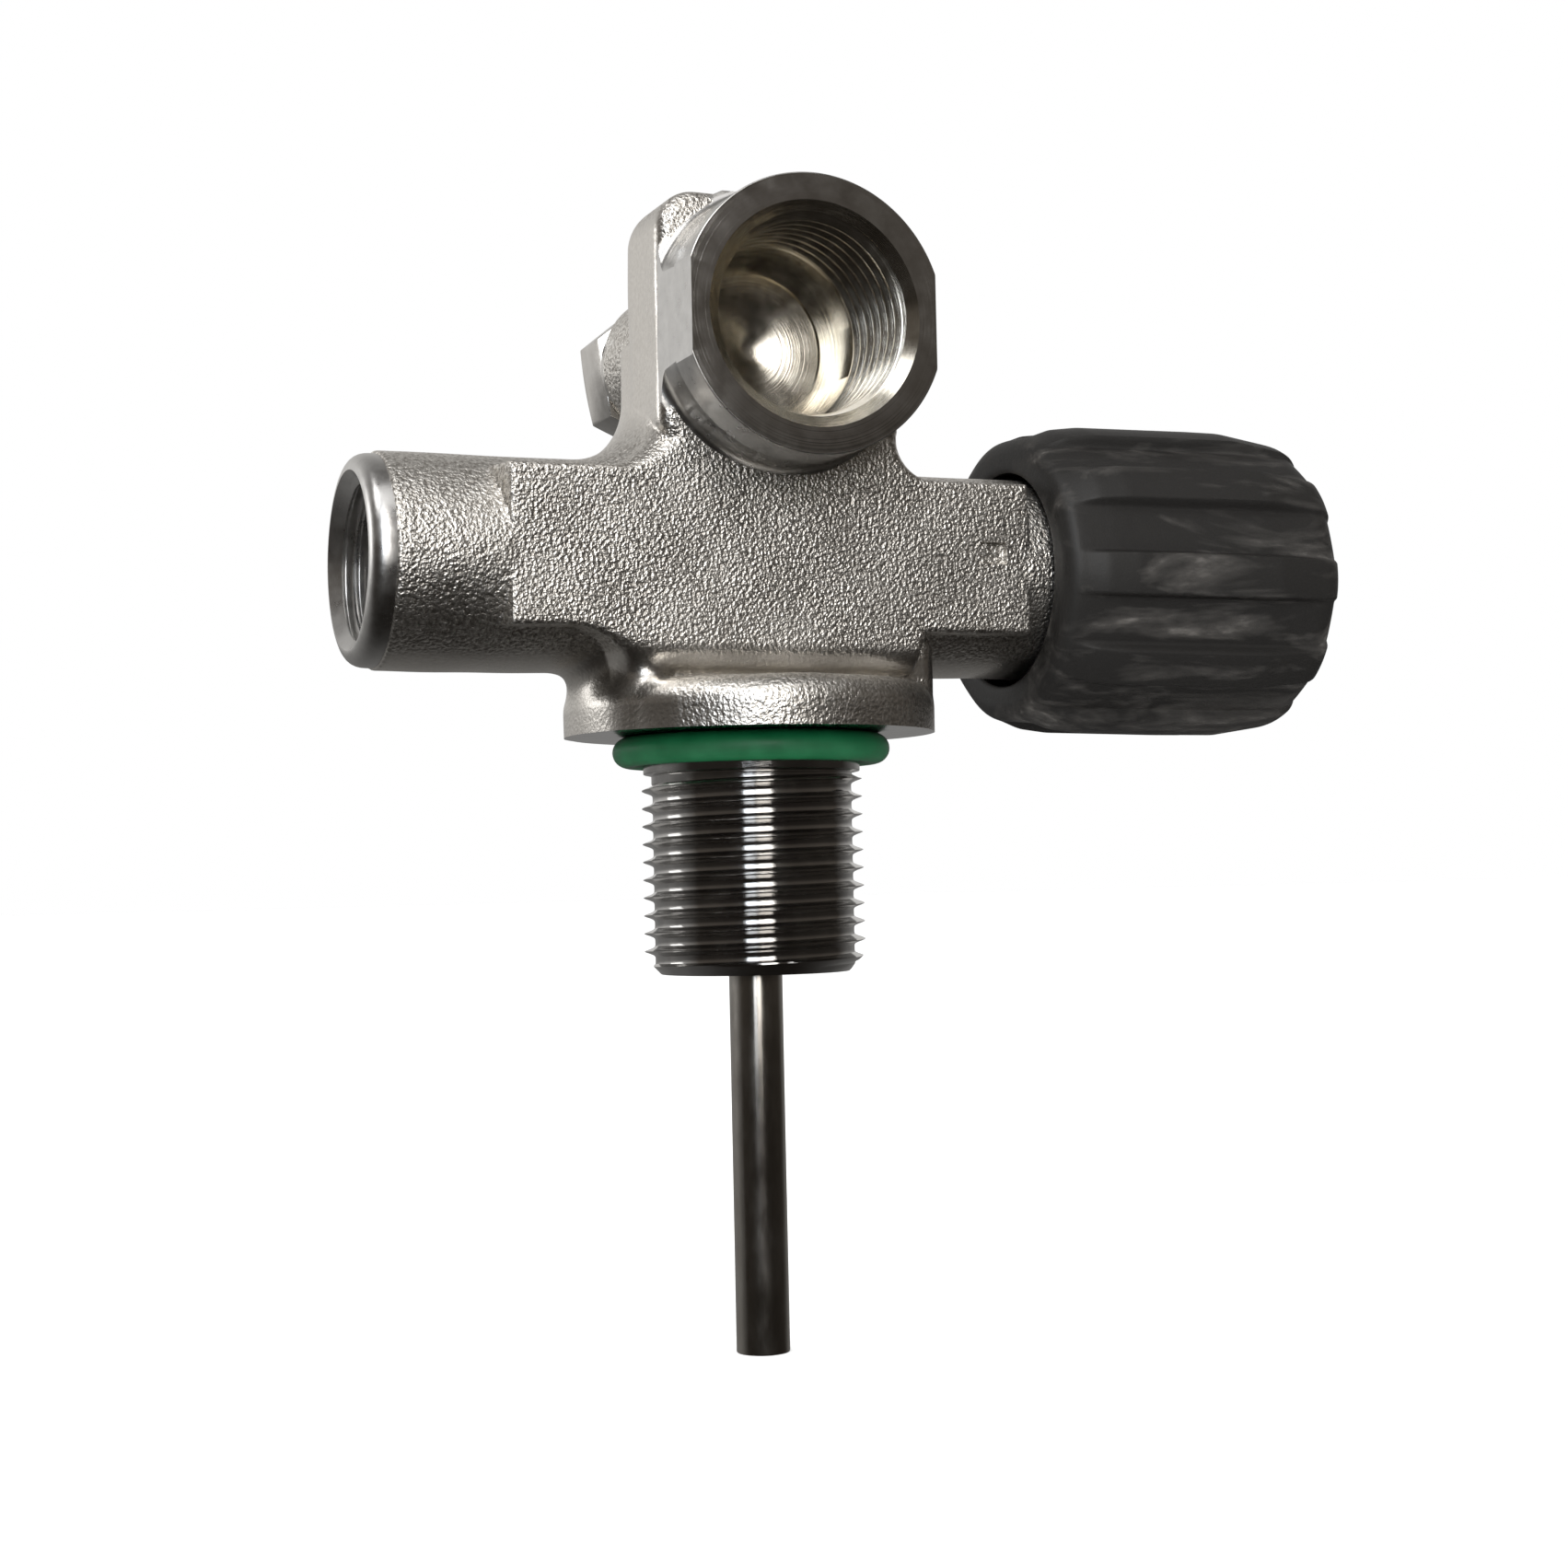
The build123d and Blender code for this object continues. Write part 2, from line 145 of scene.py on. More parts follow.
neck_crest_r = mounts["neck_thread"]["dims"]["r_mm"]
neck_root_r = 11.2
neck_pitch = 2.0
neck_low = node_low("valve_body").z
neck_tip_r = 10.6
neck_land_r = 12.2
neck_groove_r = 11.3
neck_thread_start = 2.9
outlet_crest_r = mounts["outlet"]["dims"]["r_mm"]
outlet_root_r = 11.46
outlet_pitch = 25.4 / 14
outlet_mouth_r = 12.1
outlet_floor = -2.5
outlet_run_out = 12.4
port_crest_r = mounts["side_port"]["dims"]["r_mm"]
port_root_r = 9.0
port_pitch = 1.5
port_mouth_r = 9.6
port_floor = -28.6
port_run_out = 12.0
drill_r = 1.3
drill_x = -4.0
drill_y = 1.6
passage_r = 2.4
outlet_feed_r = 1.7
seat_bore_r = 2.2
plug_flats = 16.4
plug_turn = -9.0
plug_shank_r = 6.0
plug_vent_r = 1.6
waviness = 0.03
dimple = Vector((25.3, -pad_y, 20.0))
dimple_half = Vector((1.7, 0.9, 1.25))


# ---- mesh helpers
def to_object(name, verts, faces, material, smooth_angle=35.0):
    """Object in metres from a list of millimetre points, smooth shaded up to an angle."""
    mesh = bpy.data.meshes.new(name)
    mesh.from_pydata((np.asarray(verts, float) * MM).tolist(), [], faces)
    mesh.validate()
    piece = bpy.data.objects.new(name, mesh)
    bpy.context.scene.collection.objects.link(piece)
    tidy_mesh(piece, smooth_angle)
    piece.data.materials.append(material)
    return piece


def tidy_mesh(piece, smooth_angle):
    """Merges doubled points, points normals outwards and marks sharp edges."""
    work = bmesh.new()
    work.from_mesh(piece.data)
    bmesh.ops.remove_doubles(work, verts=work.verts, dist=1e-7)
    bmesh.ops.dissolve_degenerate(work, edges=work.edges, dist=1e-8)
    bmesh.ops.recalc_face_normals(work, faces=work.faces)
    limit = math.radians(smooth_angle)
    for edge in work.edges:
        edge.smooth = len(edge.link_faces) != 2 or edge.calc_face_angle(0.0) < limit
    for face in work.faces:
        face.smooth = True
    work.to_mesh(piece.data)
    work.free()


def axes_of(direction):
    """Three unit vectors, the last along the direction."""
    last = Vector(direction).normalized()
    first = Vector((0, 0, 1)) if abs(last.z) < 0.9 else Vector((1, 0, 0))
    first = (first - last * first.dot(last)).normalized()
    return first, last.cross(first), last


def softened(profile, radius, steps=4):
    """Closed outline with every corner rounded, except corners on the axis."""
    points = [Vector(p) for p in profile]
    made = []
    for i, here in enumerate(points):
        before, after = points[i - 1], points[(i + 1) % len(points)]
        if here.x < 1e-6:
            made.append(here)
            continue
        back, ahead = (before - here), (after - here)
        turn = math.pi - back.angle(ahead, math.pi)
        if turn < 0.1:
            made.append(here)
            continue
        trim = min(radius * math.tan(turn / 2), 0.45 * back.length, 0.45 * ahead.length)
        start = here + back.normalized() * trim
        end = here + ahead.normalized() * trim
        for step in range(steps + 1):
            t = step / steps
            made.append(start * (1 - t) ** 2 + here * 2 * t * (1 - t) + end * t**2)
    return [(p.x, p.y) for p in made]


def lathe(name, profile, origin, direction, material, segments=160):
    """Solid of revolution from a closed outline of (radius, distance)."""
    first, second, last = axes_of(direction)
    origin = Vector(origin)
    verts, rows = [], []
    for r, t in profile:
        if r < 1e-6:
            rows.append([len(verts)] * segments)
            verts.append(origin + last * t)
            continue
        rows.append(list(range(len(verts), len(verts) + segments)))
        for k in range(segments):
            a = 2 * math.pi * k / segments
            verts.append(origin + last * t + (first * math.cos(a) + second * math.sin(a)) * r)
    faces = []
    for row, upper in zip(rows, rows[1:] + rows[:1]):
        for k in range(segments):
            after = (k + 1) % segments
            corners = [row[k], row[after], upper[after], upper[k]]
            unique = list(dict.fromkeys(corners))
            if len(unique) > 2:
                faces.append(unique)
    return to_object(name, verts, faces, material)


# Thread outlines over one pitch: (share of the pitch, height from the root to the crest).
cut_profile = [(0.0, 1.0), (0.07, 1.0), (0.12, 0.97), (0.30, 0.55), (0.47, 0.08), (0.53, 0.0)]
cut_profile += [(0.60, 0.0), (0.66, 0.08), (0.83, 0.52), (0.96, 0.97)]
sharp_profile = [(0.0, 1.0), (0.03, 1.0), (0.08, 0.82), (0.16, 0.44), (0.24, 0.15), (0.31, 0.03)]
sharp_profile += [(0.40, 0.0), (0.63, 0.0), (0.72, 0.03), (0.79, 0.15), (0.87, 0.44), (0.95, 0.82)]


def thread(name, profile, crest, root, pitch, start, end, limit, origin, direction, material, steps):
    """Closed solid with a right-hand thread, between two distances along its axis.

    The profile gives the height, from root to crest, at each share of the pitch. limit(t) gives
    the largest radius at a distance, which makes the chamfers and the run-outs.
    """
    first, second, last = axes_of(direction)
    origin = Vector(origin)
    run_out = 0.2
    verts, rows = [], []
    for turn in range(-1, int((end - start) / pitch) + 2):
        for share, height in profile:
            rows.append(range(len(verts), len(verts) + steps))
            for k in range(steps):
                t = start + (turn + share + k / steps) * pitch
                inside = min(max(t, start), end)
                depth = min(1.0, (inside - start) / run_out, (end - inside) / run_out)
                r = root + (crest - root) * (height * depth + 0.5 * (1 - depth))
                r = min(r, limit(inside))
                a = 2 * math.pi * k / steps
                verts.append(origin + last * inside + (first * math.cos(a) + second * math.sin(a)) * r)
    faces = [list(rows[0]), list(rows[-1])]
    for i in range(len(rows) - 1):
        for k in range(steps - 1):
            faces.append([rows[i][k], rows[i][k + 1], rows[i + 1][k + 1], rows[i + 1][k]])
        if i + len(profile) + 1 < len(rows):
            low, high = rows[i + len(profile)], rows[i + len(profile) + 1]
            faces.append([rows[i][-1], low[0], high[0], rows[i + 1][-1]])
    return to_object(name, verts, faces, material, 30.0)


def block(name, low, high, material):
    """Box between two corners."""
    xs, ys, zs = zip(low, high)
    corners = [(x, y, z) for x in xs for y in ys for z in zs]
    sides = [(0, 1, 3, 2), (4, 6, 7, 5), (0, 4, 5, 1), (2, 3, 7, 6), (0, 2, 6, 4), (1, 5, 7, 3)]
    return to_object(name, corners, sides, material)


def rod(name, radius, start, end, material):
    """Round bar between two points."""
    run = Vector(end) - Vector(start)
    outline = [(0, 0), (radius, 0), (radius, run.length), (0, run.length)]
    return lathe(name, outline, start, run, material, 48)


def bake_modifiers(piece):
    """Applies a piece's modifiers to its mesh."""
    evaluated = piece.evaluated_get(bpy.context.evaluated_depsgraph_get())
    mesh = bpy.data.meshes.new_from_object(evaluated)
    piece.modifiers.clear()
    piece.data = mesh


def combine(piece, tool, operation):
    """Boolean with another solid, which is then removed."""
    step = piece.modifiers.new(operation, "BOOLEAN")
    step.operation = operation
    step.solver = "MANIFOLD"
    step.material_mode = "TRANSFER"
    step.object = tool
    bake_modifiers(piece)
    bpy.data.objects.remove(tool)


# ---- distance fields
def capped(a, b, edge):
    """Intersection of two distances with its edge rounded."""
    u, v = np.maximum(a + edge, 0), np.maximum(b + edge, 0)
    return np.minimum(np.maximum(a, b) + edge, 0) + np.hypot(u, v) - edge


def blended(a, b, radius):
    """Union of two distances with a fillet between them."""
    u, v = np.maximum(radius - a, 0), np.maximum(radius - b, 0)
    return np.maximum(radius, np.minimum(a, b)) - np.hypot(u, v)


def rounded_rectangle(u, v, half_u, half_v, corner):
    """Distance to a rectangle with round corners."""
    return capped(np.abs(u) - half_u, np.abs(v) - half_v, corner)


def rise(t):
    """Smooth step from 0 to 1."""
    t = np.clip(t, 0, 1)
    return t * t * (3 - 2 * t)


def forging(x, y, z):
    """Distance to the forged shape, before machining."""
    past_barrel = np.maximum(turned_end - x, x - barrel_right)
    barrel = capped(np.hypot(y, z - barrel_z) - barrel_r, past_barrel, barrel_end_round)
    past_pad = np.maximum(pad_left - x, x - pad_right)
    belly = rise((x - belly_left) / belly_left_run) - rise((x - belly_right) / belly_right_run)
    bottom = pad_bottom + (belly_bottom - pad_bottom) * belly
    edge = pad_edge + (belly_round - pad_edge) * belly
    pad = capped(np.abs(y) - pad_y, z - pad_top, pad_edge)
    pad = capped(pad, bottom - z, edge)
    pad = capped(pad, past_pad + end_draft * (np.abs(y) - pad_y), end_round)

    column = capped(np.abs(x) - pillar_half, y - head_rear, column_round)
    column = np.maximum(column, np.maximum(pillar_root - z, z - head_z))
    pillar = blended(column, np.minimum(barrel, pad), np.where(x < 0, saddle_left_r, saddle_right_r))
    side_round = np.where(x < 0, pillar_round, pillar_right_round)
    front_round = pillar_low_round + (side_round - pillar_low_round) * rise((z - pillar_root) / 8)
    pillar = capped(pillar, -pad_y - y, front_round)
    pillar = np.maximum(pillar, pillar_root - 1 - z)
    pillar = np.maximum(pillar, pad_left + 1 - x)

    shelf = blended(z - block_top, y - head_rear, rear_fillet)
    shelf = capped(shelf, np.abs(x) - pillar_half + shelf_inset, shelf_end_round)
    shelf = capped(shelf, np.maximum(y - pad_y + shelf_inset, z - head_z), 1.0)
    shelf = np.maximum(shelf, np.maximum(-y, pad_bottom + 5 - z))

    # Between the pads' ends the barrel is trimmed flush with the pads.
    trimmed = np.maximum(barrel, np.abs(y) - pad_y - 2 * np.maximum(past_pad, 0))
    upper = np.minimum(np.minimum(np.minimum(pillar, pad), shelf), trimmed)
    head_mid = (head_top + head_z - head_half) / 2
    head = rounded_rectangle(x, z - head_mid, head_half, head_top - head_mid, head_corner)
    head = capped(head, head_front - y, head_front_round)
    head = capped(head, y - head_rear, head_rear_round)
    whole = np.minimum(upper, head)

    flange = capped(np.hypot(x, y) - flange_r, z - flange_top, flange_round)
    flange = np.maximum(flange, under_cut - z)
    left = rise((foot_left - x) / foot_left_run)
    foot = capped(np.hypot(x, y) - flange_r + foot_inset * left, np.abs(y) - foot_half, foot_round)
    foot = np.maximum(np.maximum(foot, z - pad_bottom), under_cut - z)
    whole = blended(whole, foot, foot_crease + foot_fillet * left)
    whole = blended(whole, flange, flange_crease + foot_fillet * left)
    whole = np.maximum(whole, under_cut - z)

    boss = np.hypot(x, z - plug_z) - boss_r - boss_flare * np.maximum(boss_root - y, 0)
    boss = capped(boss, y - boss_face, boss_round)
    boss = np.maximum(boss, -y)
    whole = blended(whole, boss, boss_fillet)
    wave = np.sin(0.61 * x + 0.4 * z) * np.sin(0.53 * y + 1.1) + np.sin(0.47 * z - 0.36 * x + 2.0)
    return whole + waviness * wave


def slope(field, points, reach=0.02):
    """Gradient of a distance field at points."""
    out = np.empty_like(points)
    for axis in range(3):
        step = np.zeros(3)
        step[axis] = reach
        out[:, axis] = (field(*(points + step).T) - field(*(points - step).T)) / (2 * reach)
    return out


def settle(field, points):
    """Points moved onto the surface of a distance field."""
    grade = slope(field, points)
    size = np.maximum((grade**2).sum(1), 0.05)
    move = np.clip(field(*points.T) / size, -0.3, 0.3)
    return points - grade * move[:, None]


def relax(points, quads):
    """Each point moved half way to the mean of its neighbours."""
    ends = np.concatenate([quads[:, [i, (i + 1) % 4]] for i in range(4)])
    ends = np.concatenate([ends, ends[:, ::-1]])
    count = np.bincount(ends[:, 0], minlength=len(points))
    mean = np.stack(
        [np.bincount(ends[:, 0], points[ends[:, 1], axis], len(points)) / count for axis in range(3)], 1
    )
    return (points + mean) / 2


def surface_of(field, low, high, step):
    """Quad mesh of a distance field's zero surface, by surface nets."""
    counts = [int(math.ceil((h - l) / step)) + 1 for l, h in zip(low, high)]
    lines = [l + step * np.arange(n) for l, n in zip(low, counts)]
    values = field(*np.meshgrid(*lines, indexing="ij", sparse=True))
    inside = values < 0
    corners = [(i, j, k) for i in (0, 1) for j in (0, 1) for k in (0, 1)]

    def shifted(array, corner):
        return array[tuple(slice(c, n - 1 + c) for c, n in zip(corner, counts))]

    full = sum(shifted(inside, c).astype(np.int8) for c in corners)
    active = (full > 0) & (full < 8)
    cells = np.argwhere(active)
    index = np.full(active.shape, -1)
    index[active] = np.arange(len(cells))
    total, hits = np.zeros((len(cells), 3)), np.zeros(len(cells))
    for a in corners:
        for axis in range(3):
            if a[axis]:
                continue
            b = tuple(c + (i == axis) for i, c in enumerate(a))
            here = values[tuple((cells + a).T)]
            there = values[tuple((cells + b).T)]
            crosses = (here < 0) != (there < 0)
            share = np.where(crosses, here / np.where(crosses, here - there, 1.0), 0.0)
            place = np.array(a, float) + share[:, None] * (np.array(b) - np.array(a))
            total += np.where(crosses[:, None], place, 0.0)
            hits += crosses
    points = np.array(low) + step * (cells + total / hits[:, None])
    quads = []
    for axis in range(3):
        after = [slice(None)] * 3
        after[axis] = slice(1, None)
        before = [slice(None)] * 3
        before[axis] = slice(0, -1)
        edges = np.argwhere(inside[tuple(before)] != inside[tuple(after)])
        u, v = np.eye(3, dtype=int)[(axis + 1) % 3], np.eye(3, dtype=int)[(axis + 2) % 3]
        ring = [index[tuple((edges - shift).T)] for shift in (0 * u, u, u + v, v)]
        quad = np.stack(ring, 1)
        flip = ~inside[tuple(edges.T)]
        quad[flip] = quad[flip][:, ::-1]
        quads.append(quad)
    quads = np.concatenate(quads)
    for _ in range(3):
        points = settle(field, relax(points, quads))
    points = settle(field, points)
    return points, quads


# ---- materials
def fill_ramp(elements, stops):
    """Sets a colour ramp's elements; each stop is (position, red, green, blue)."""
    while len(elements) < len(stops):
        elements.new(0.5)
    for element, (position, *colour) in zip(elements, stops):
        element.position = position
        element.color = (*colour, 1)


class Shader:
    """Small helper that builds a node material step by step."""

    def __init__(self, name, **sockets):
        self.material = bpy.data.materials.new(name)
        self.material.use_nodes = True
        self.nodes = self.material.node_tree.nodes
        self.links = self.material.node_tree.links
        self.surface = self.nodes["Principled BSDF"]
        self.place = self.nodes.new("ShaderNodeTexCoord").outputs["Object"]
        self.height = None
        for socket, value in sockets.items():
            self.surface.inputs[socket.replace("_", " ")].default_value = value

    def stretched(self, scale):
        """Object coordinates multiplied by a scale along each axis."""
        mapping = self.nodes.new("ShaderNodeMapping")
        mapping.inputs["Scale"].default_value = scale
        self.links.new(self.place, mapping.inputs["Vector"])
        return mapping.outputs["Vector"]

    def noise(self, size_mm, detail=2.0, rough=0.5, stretch=(1, 1, 1), warp=0.0):
        """Noise whose features are about size_mm across."""
        node = self.nodes.new("ShaderNodeTexNoise")
        node.inputs["Scale"].default_value = 1 / (size_mm * MM)
        node.inputs["Detail"].default_value = detail
        node.inputs["Roughness"].default_value = rough
        node.inputs["Distortion"].default_value = warp
        self.links.new(self.stretched(stretch), node.inputs["Vector"])
        return node.outputs["Fac"]

    def tool_rings(self, size_mm):
        """Noise that changes only with the distance from the outlet's axis."""
        mapping = self.nodes.new("ShaderNodeMapping")
        mapping.inputs["Location"].default_value = (0, 0, -head_z * MM)
        mapping.inputs["Scale"].default_value = (1, 0, 1)
        self.links.new(self.place, mapping.inputs["Vector"])
        length = self.nodes.new("ShaderNodeVectorMath")
        length.operation = "LENGTH"
        self.links.new(mapping.outputs["Vector"], length.inputs[0])
        node = self.nodes.new("ShaderNodeTexNoise")
        node.noise_dimensions = "1D"
        node.inputs["Scale"].default_value = 1 / (size_mm * MM)
        node.inputs["Detail"].default_value = 3.0
        self.links.new(length.outputs["Value"], node.inputs["W"])
        return node.outputs["Fac"]

    def ramp(self, value, low, high, out_low=0.0, out_high=1.0):
        """Linear map of a value, held at its ends."""
        node = self.nodes.new("ShaderNodeMapRange")
        sockets = ("From Min", "From Max", "To Min", "To Max")
        for socket, number in zip(sockets, (low, high, out_low, out_high)):
            node.inputs[socket].default_value = number
        self.links.new(value, node.inputs["Value"])
        return node.outputs["Result"]

    def math(self, operation, a, b):
        """Math node on two values, either of which may be a number."""
        node = self.nodes.new("ShaderNodeMath")
        node.operation = operation
        for socket, value in zip(node.inputs, (a, b)):
            if isinstance(value, (int, float)):
                socket.default_value = value
            else:
                self.links.new(value, socket)
        return node.outputs[0]

    def colours(self, value, *stops):
        """Colour ramp; each stop is (position, red, green, blue)."""
        node = self.nodes.new("ShaderNodeValToRGB")
        fill_ramp(node.color_ramp.elements, stops)
        self.links.new(value, node.inputs["Fac"])
        return node.outputs["Color"]

    def bump(self, value, depth_mm):
        """Bump of the given depth, added on top of the earlier ones."""
        node = self.nodes.new("ShaderNodeBump")
        node.inputs["Strength"].default_value = 1.0
        node.inputs["Distance"].default_value = depth_mm * MM
        self.links.new(value, node.inputs["Height"])
        if self.height:
            self.links.new(self.height, node.inputs["Normal"])
        self.height = node.outputs["Normal"]
        self.links.new(self.height, self.surface.inputs["Normal"])

    def set(self, socket, value):
        """Links a value to one of the surface's sockets."""
        self.links.new(value, self.surface.inputs[socket])

    def axis(self, letter):
        """Object coordinate along one axis, in metres."""
        node = self.nodes.new("ShaderNodeSeparateXYZ")
        self.links.new(self.place, node.inputs[0])
        return node.outputs[letter]


def forged_chrome():
    """Bright plate over a sand-blasted forging, nearly smooth where its flash was trimmed."""
    m = Shader("forged_chrome", Metallic=1.0)
    grain = m.noise(0.40, 1.2, 0.5)
    # Smooth zones: the sides of the head, the hollow above the flange and, less so, the flange.
    side = m.ramp(m.math("ABSOLUTE", m.axis("X"), 0), 13.2 * MM, 13.9 * MM)
    trimmed = m.math("MULTIPLY", side, m.ramp(m.axis("Z"), 29 * MM, 34 * MM))
    left = m.ramp(m.axis("X"), -12 * MM, -15 * MM)
    foot = m.math("MAXIMUM", left, m.ramp(m.axis("Z"), 5.4 * MM, 6.2 * MM))
    waist = m.math("MULTIPLY", foot, m.ramp(m.axis("Z"), 9.6 * MM, 8.0 * MM))
    flange = m.ramp(m.axis("Z"), 6.2 * MM, 5.4 * MM, 0, 0.45)
    smooth = m.math("MAXIMUM", m.math("MAXIMUM", trimmed, waist), flange)
    keep = m.ramp(smooth, 0, 1, 1, 0.14)
    relief = m.math("MULTIPLY", m.math("SUBTRACT", grain, 0.5), keep)
    tone = m.math("ADD", relief, 0.5)
    broad = m.noise(7.0, 2.0)
    m.set("Base Color", m.colours(tone, (0.34, 0.47, 0.44, 0.40), (0.62, 0.90, 0.87, 0.82)))
    polish = m.ramp(smooth, 0, 1, 0, 0.1)
    m.set("Roughness", m.math("SUBTRACT", m.ramp(broad, 0.3, 0.7, 0.36, 0.44), polish))
    m.bump(broad, 0.04)
    m.bump(relief, 0.23)
    return m.material


def smeared_metal(name, smear_mm, dark, light, rough, rougher, stretch=(1, 1, 1)):
    """Metal with smears that change its colour and roughness. The caller adds the tool marks."""
    m = Shader(name, Metallic=1.0)
    smear = m.noise(smear_mm, 3.0, 0.6, stretch)
    m.set("Base Color", m.colours(smear, (0.3, *dark), (0.7, *light)))
    m.set("Roughness", m.ramp(smear, 0.3, 0.7, rough, rougher))
    return m


def faced_chrome():
    """Bright plate over a face cut on the lathe, with rings round the outlet's axis."""
    m = smeared_metal("faced_chrome", 3.0, (0.60, 0.585, 0.56), (0.72, 0.705, 0.68), 0.16, 0.24)
    m.bump(m.tool_rings(0.28), 0.020)
    return m.material


def satin_chrome():
    """Plate over a tumbled, rounded lip."""
    m = smeared_metal("satin_chrome", 2.0, (0.60, 0.59, 0.575), (0.72, 0.71, 0.69), 0.26, 0.36)
    m.bump(m.noise(0.4, 2.0, 0.6), 0.010)
    return m.material


def turned_chrome():
    """Bright plate over a machined face: fine tool lines and faint handling marks."""
    m = smeared_metal("turned_chrome", 3.0, (0.47, 0.46, 0.45), (0.58, 0.57, 0.555), 0.07, 0.16)
    m.bump(m.noise(0.9, 2.0, 0.6, (1, 1, 14)), 0.004)
    return m.material


def bore_chrome():
    """Thin warm plate inside a bored hole."""
    m = smeared_metal("bore_chrome", 2.2, (0.62, 0.575, 0.49), (0.74, 0.70, 0.62), 0.16, 0.26)
    m.bump(m.noise(0.5, 2.0, 0.6, (0.15, 6, 0.15)), 0.010)
    m.bump(m.tool_rings(0.30), 0.014)
    return m.material


def tube_chrome():
    """Drawn tube under thin chrome, with draw lines along it."""
    along = (1, 1, 0.3)
    m = smeared_metal("tube_chrome", 2.0, (0.50, 0.465, 0.42), (0.62, 0.59, 0.545), 0.14, 0.26, along)
    m.bump(m.noise(0.5, 3.0, 0.6, (1, 1, 0.03)), 0.006)
    return m.material


def plain_metal(name, dark, light, rough):
    """Machined metal with light smears and tool lines."""
    m = smeared_metal(name, 2.5, dark, light, rough, rough + 0.1)
    m.bump(m.noise(0.35, 2.0, 0.6), 0.004)
    return m.material


def smooth_rubber(name, dark, light):
    """Moulded O-ring rubber with a faint bloom."""
    m = Shader(name, Specular_IOR_Level=0.45)
    bloom = m.noise(3.5, 3.0, 0.6)
    m.set("Base Color", m.colours(bloom, (0.3, *dark), (0.7, *light)))
    m.set("Roughness", m.ramp(bloom, 0.3, 0.7, 0.42, 0.55))
    m.bump(m.noise(0.25, 2.0), 0.006)
    return m.material


def grip_rubber():
    """Matte handwheel rubber, scuffed and dusty in streaks along the ribs."""
    m = Shader("grip_rubber", Specular_IOR_Level=0.35)
    streak = m.noise(5.0, 4.0, 0.65, (0.22, 1, 1), 0.6)
    fine = m.noise(1.1, 3.0, 0.6, (0.35, 1, 1))
    dust = m.math("MULTIPLY", m.ramp(streak, 0.50, 0.72), m.ramp(fine, 0.30, 0.65, 0.35, 1.0))
    shades = ((0.0, 0.013, 0.012, 0.011), (0.45, 0.034, 0.031, 0.028), (1.0, 0.095, 0.088, 0.080))
    m.set("Base Color", m.colours(dust, *shades))
    m.set("Roughness", m.ramp(dust, 0.0, 1.0, 0.50, 0.78))
    m.bump(m.noise(2.2, 3.0), 0.05)
    m.bump(m.noise(0.3, 2.0, 0.6), 0.02)
    return m.material


def plain_plastic(name, dark, light, rough):
    """Machined or moulded plastic."""
    m = Shader(name)
    mottle = m.noise(2.0, 3.0)
    m.set("Base Color", m.colours(mottle, (0.3, *dark), (0.7, *light)))
    m.set("Roughness", m.ramp(mottle, 0.3, 0.7, rough, rough + 0.12))
    m.bump(m.noise(0.3, 2.0), 0.01)
    return m.material


forged = forged_chrome()
machined = turned_chrome()
faced = faced_chrome()
satin = satin_chrome()
bored = bore_chrome()
bright = plain_metal("plug_chrome", (0.60, 0.58, 0.55), (0.72, 0.70, 0.67), 0.12)
brass = plain_metal("brass", (0.62, 0.44, 0.20), (0.74, 0.56, 0.29), 0.25)
copper = plain_metal("copper", (0.62, 0.32, 0.21), (0.74, 0.42, 0.30), 0.25)
stainless = plain_metal("stainless", (0.48, 0.48, 0.48), (0.60, 0.60, 0.60), 0.22)
green = smooth_rubber("green_rubber", (0.0012, 0.082, 0.026), (0.003, 0.112, 0.038))
black = smooth_rubber("black_rubber", (0.015, 0.015, 0.015), (0.035, 0.035, 0.035))
grip = grip_rubber()
hard_plastic = plain_plastic("core_plastic", (0.020, 0.020, 0.020), (0.040, 0.039, 0.038), 0.42)
white_plastic = plain_plastic("white_plastic", (0.66, 0.64, 0.58), (0.78, 0.76, 0.71), 0.40)


# ---- valve body
def neck_limit(t):
    """Largest radius of the neck's thread at a depth below the flange."""
    if t < 5.0:
        return neck_groove_r + max(0.0, t - 4.6) * 2.0
    return min(neck_crest_r + 0.1, neck_tip_r + (-neck_low - t) * 0.95)


def outlet_limit(t):
    """Largest radius of the outlet's thread cutter at a depth inside the mouth."""
    return outlet_root_r - max(0.0, t - outlet_run_out) * 0.9


def port_limit(t):
    """Largest radius of the side port's thread cutter at a depth inside the mouth."""
    return port_root_r - max(0.0, t - port_run_out) * 0.7


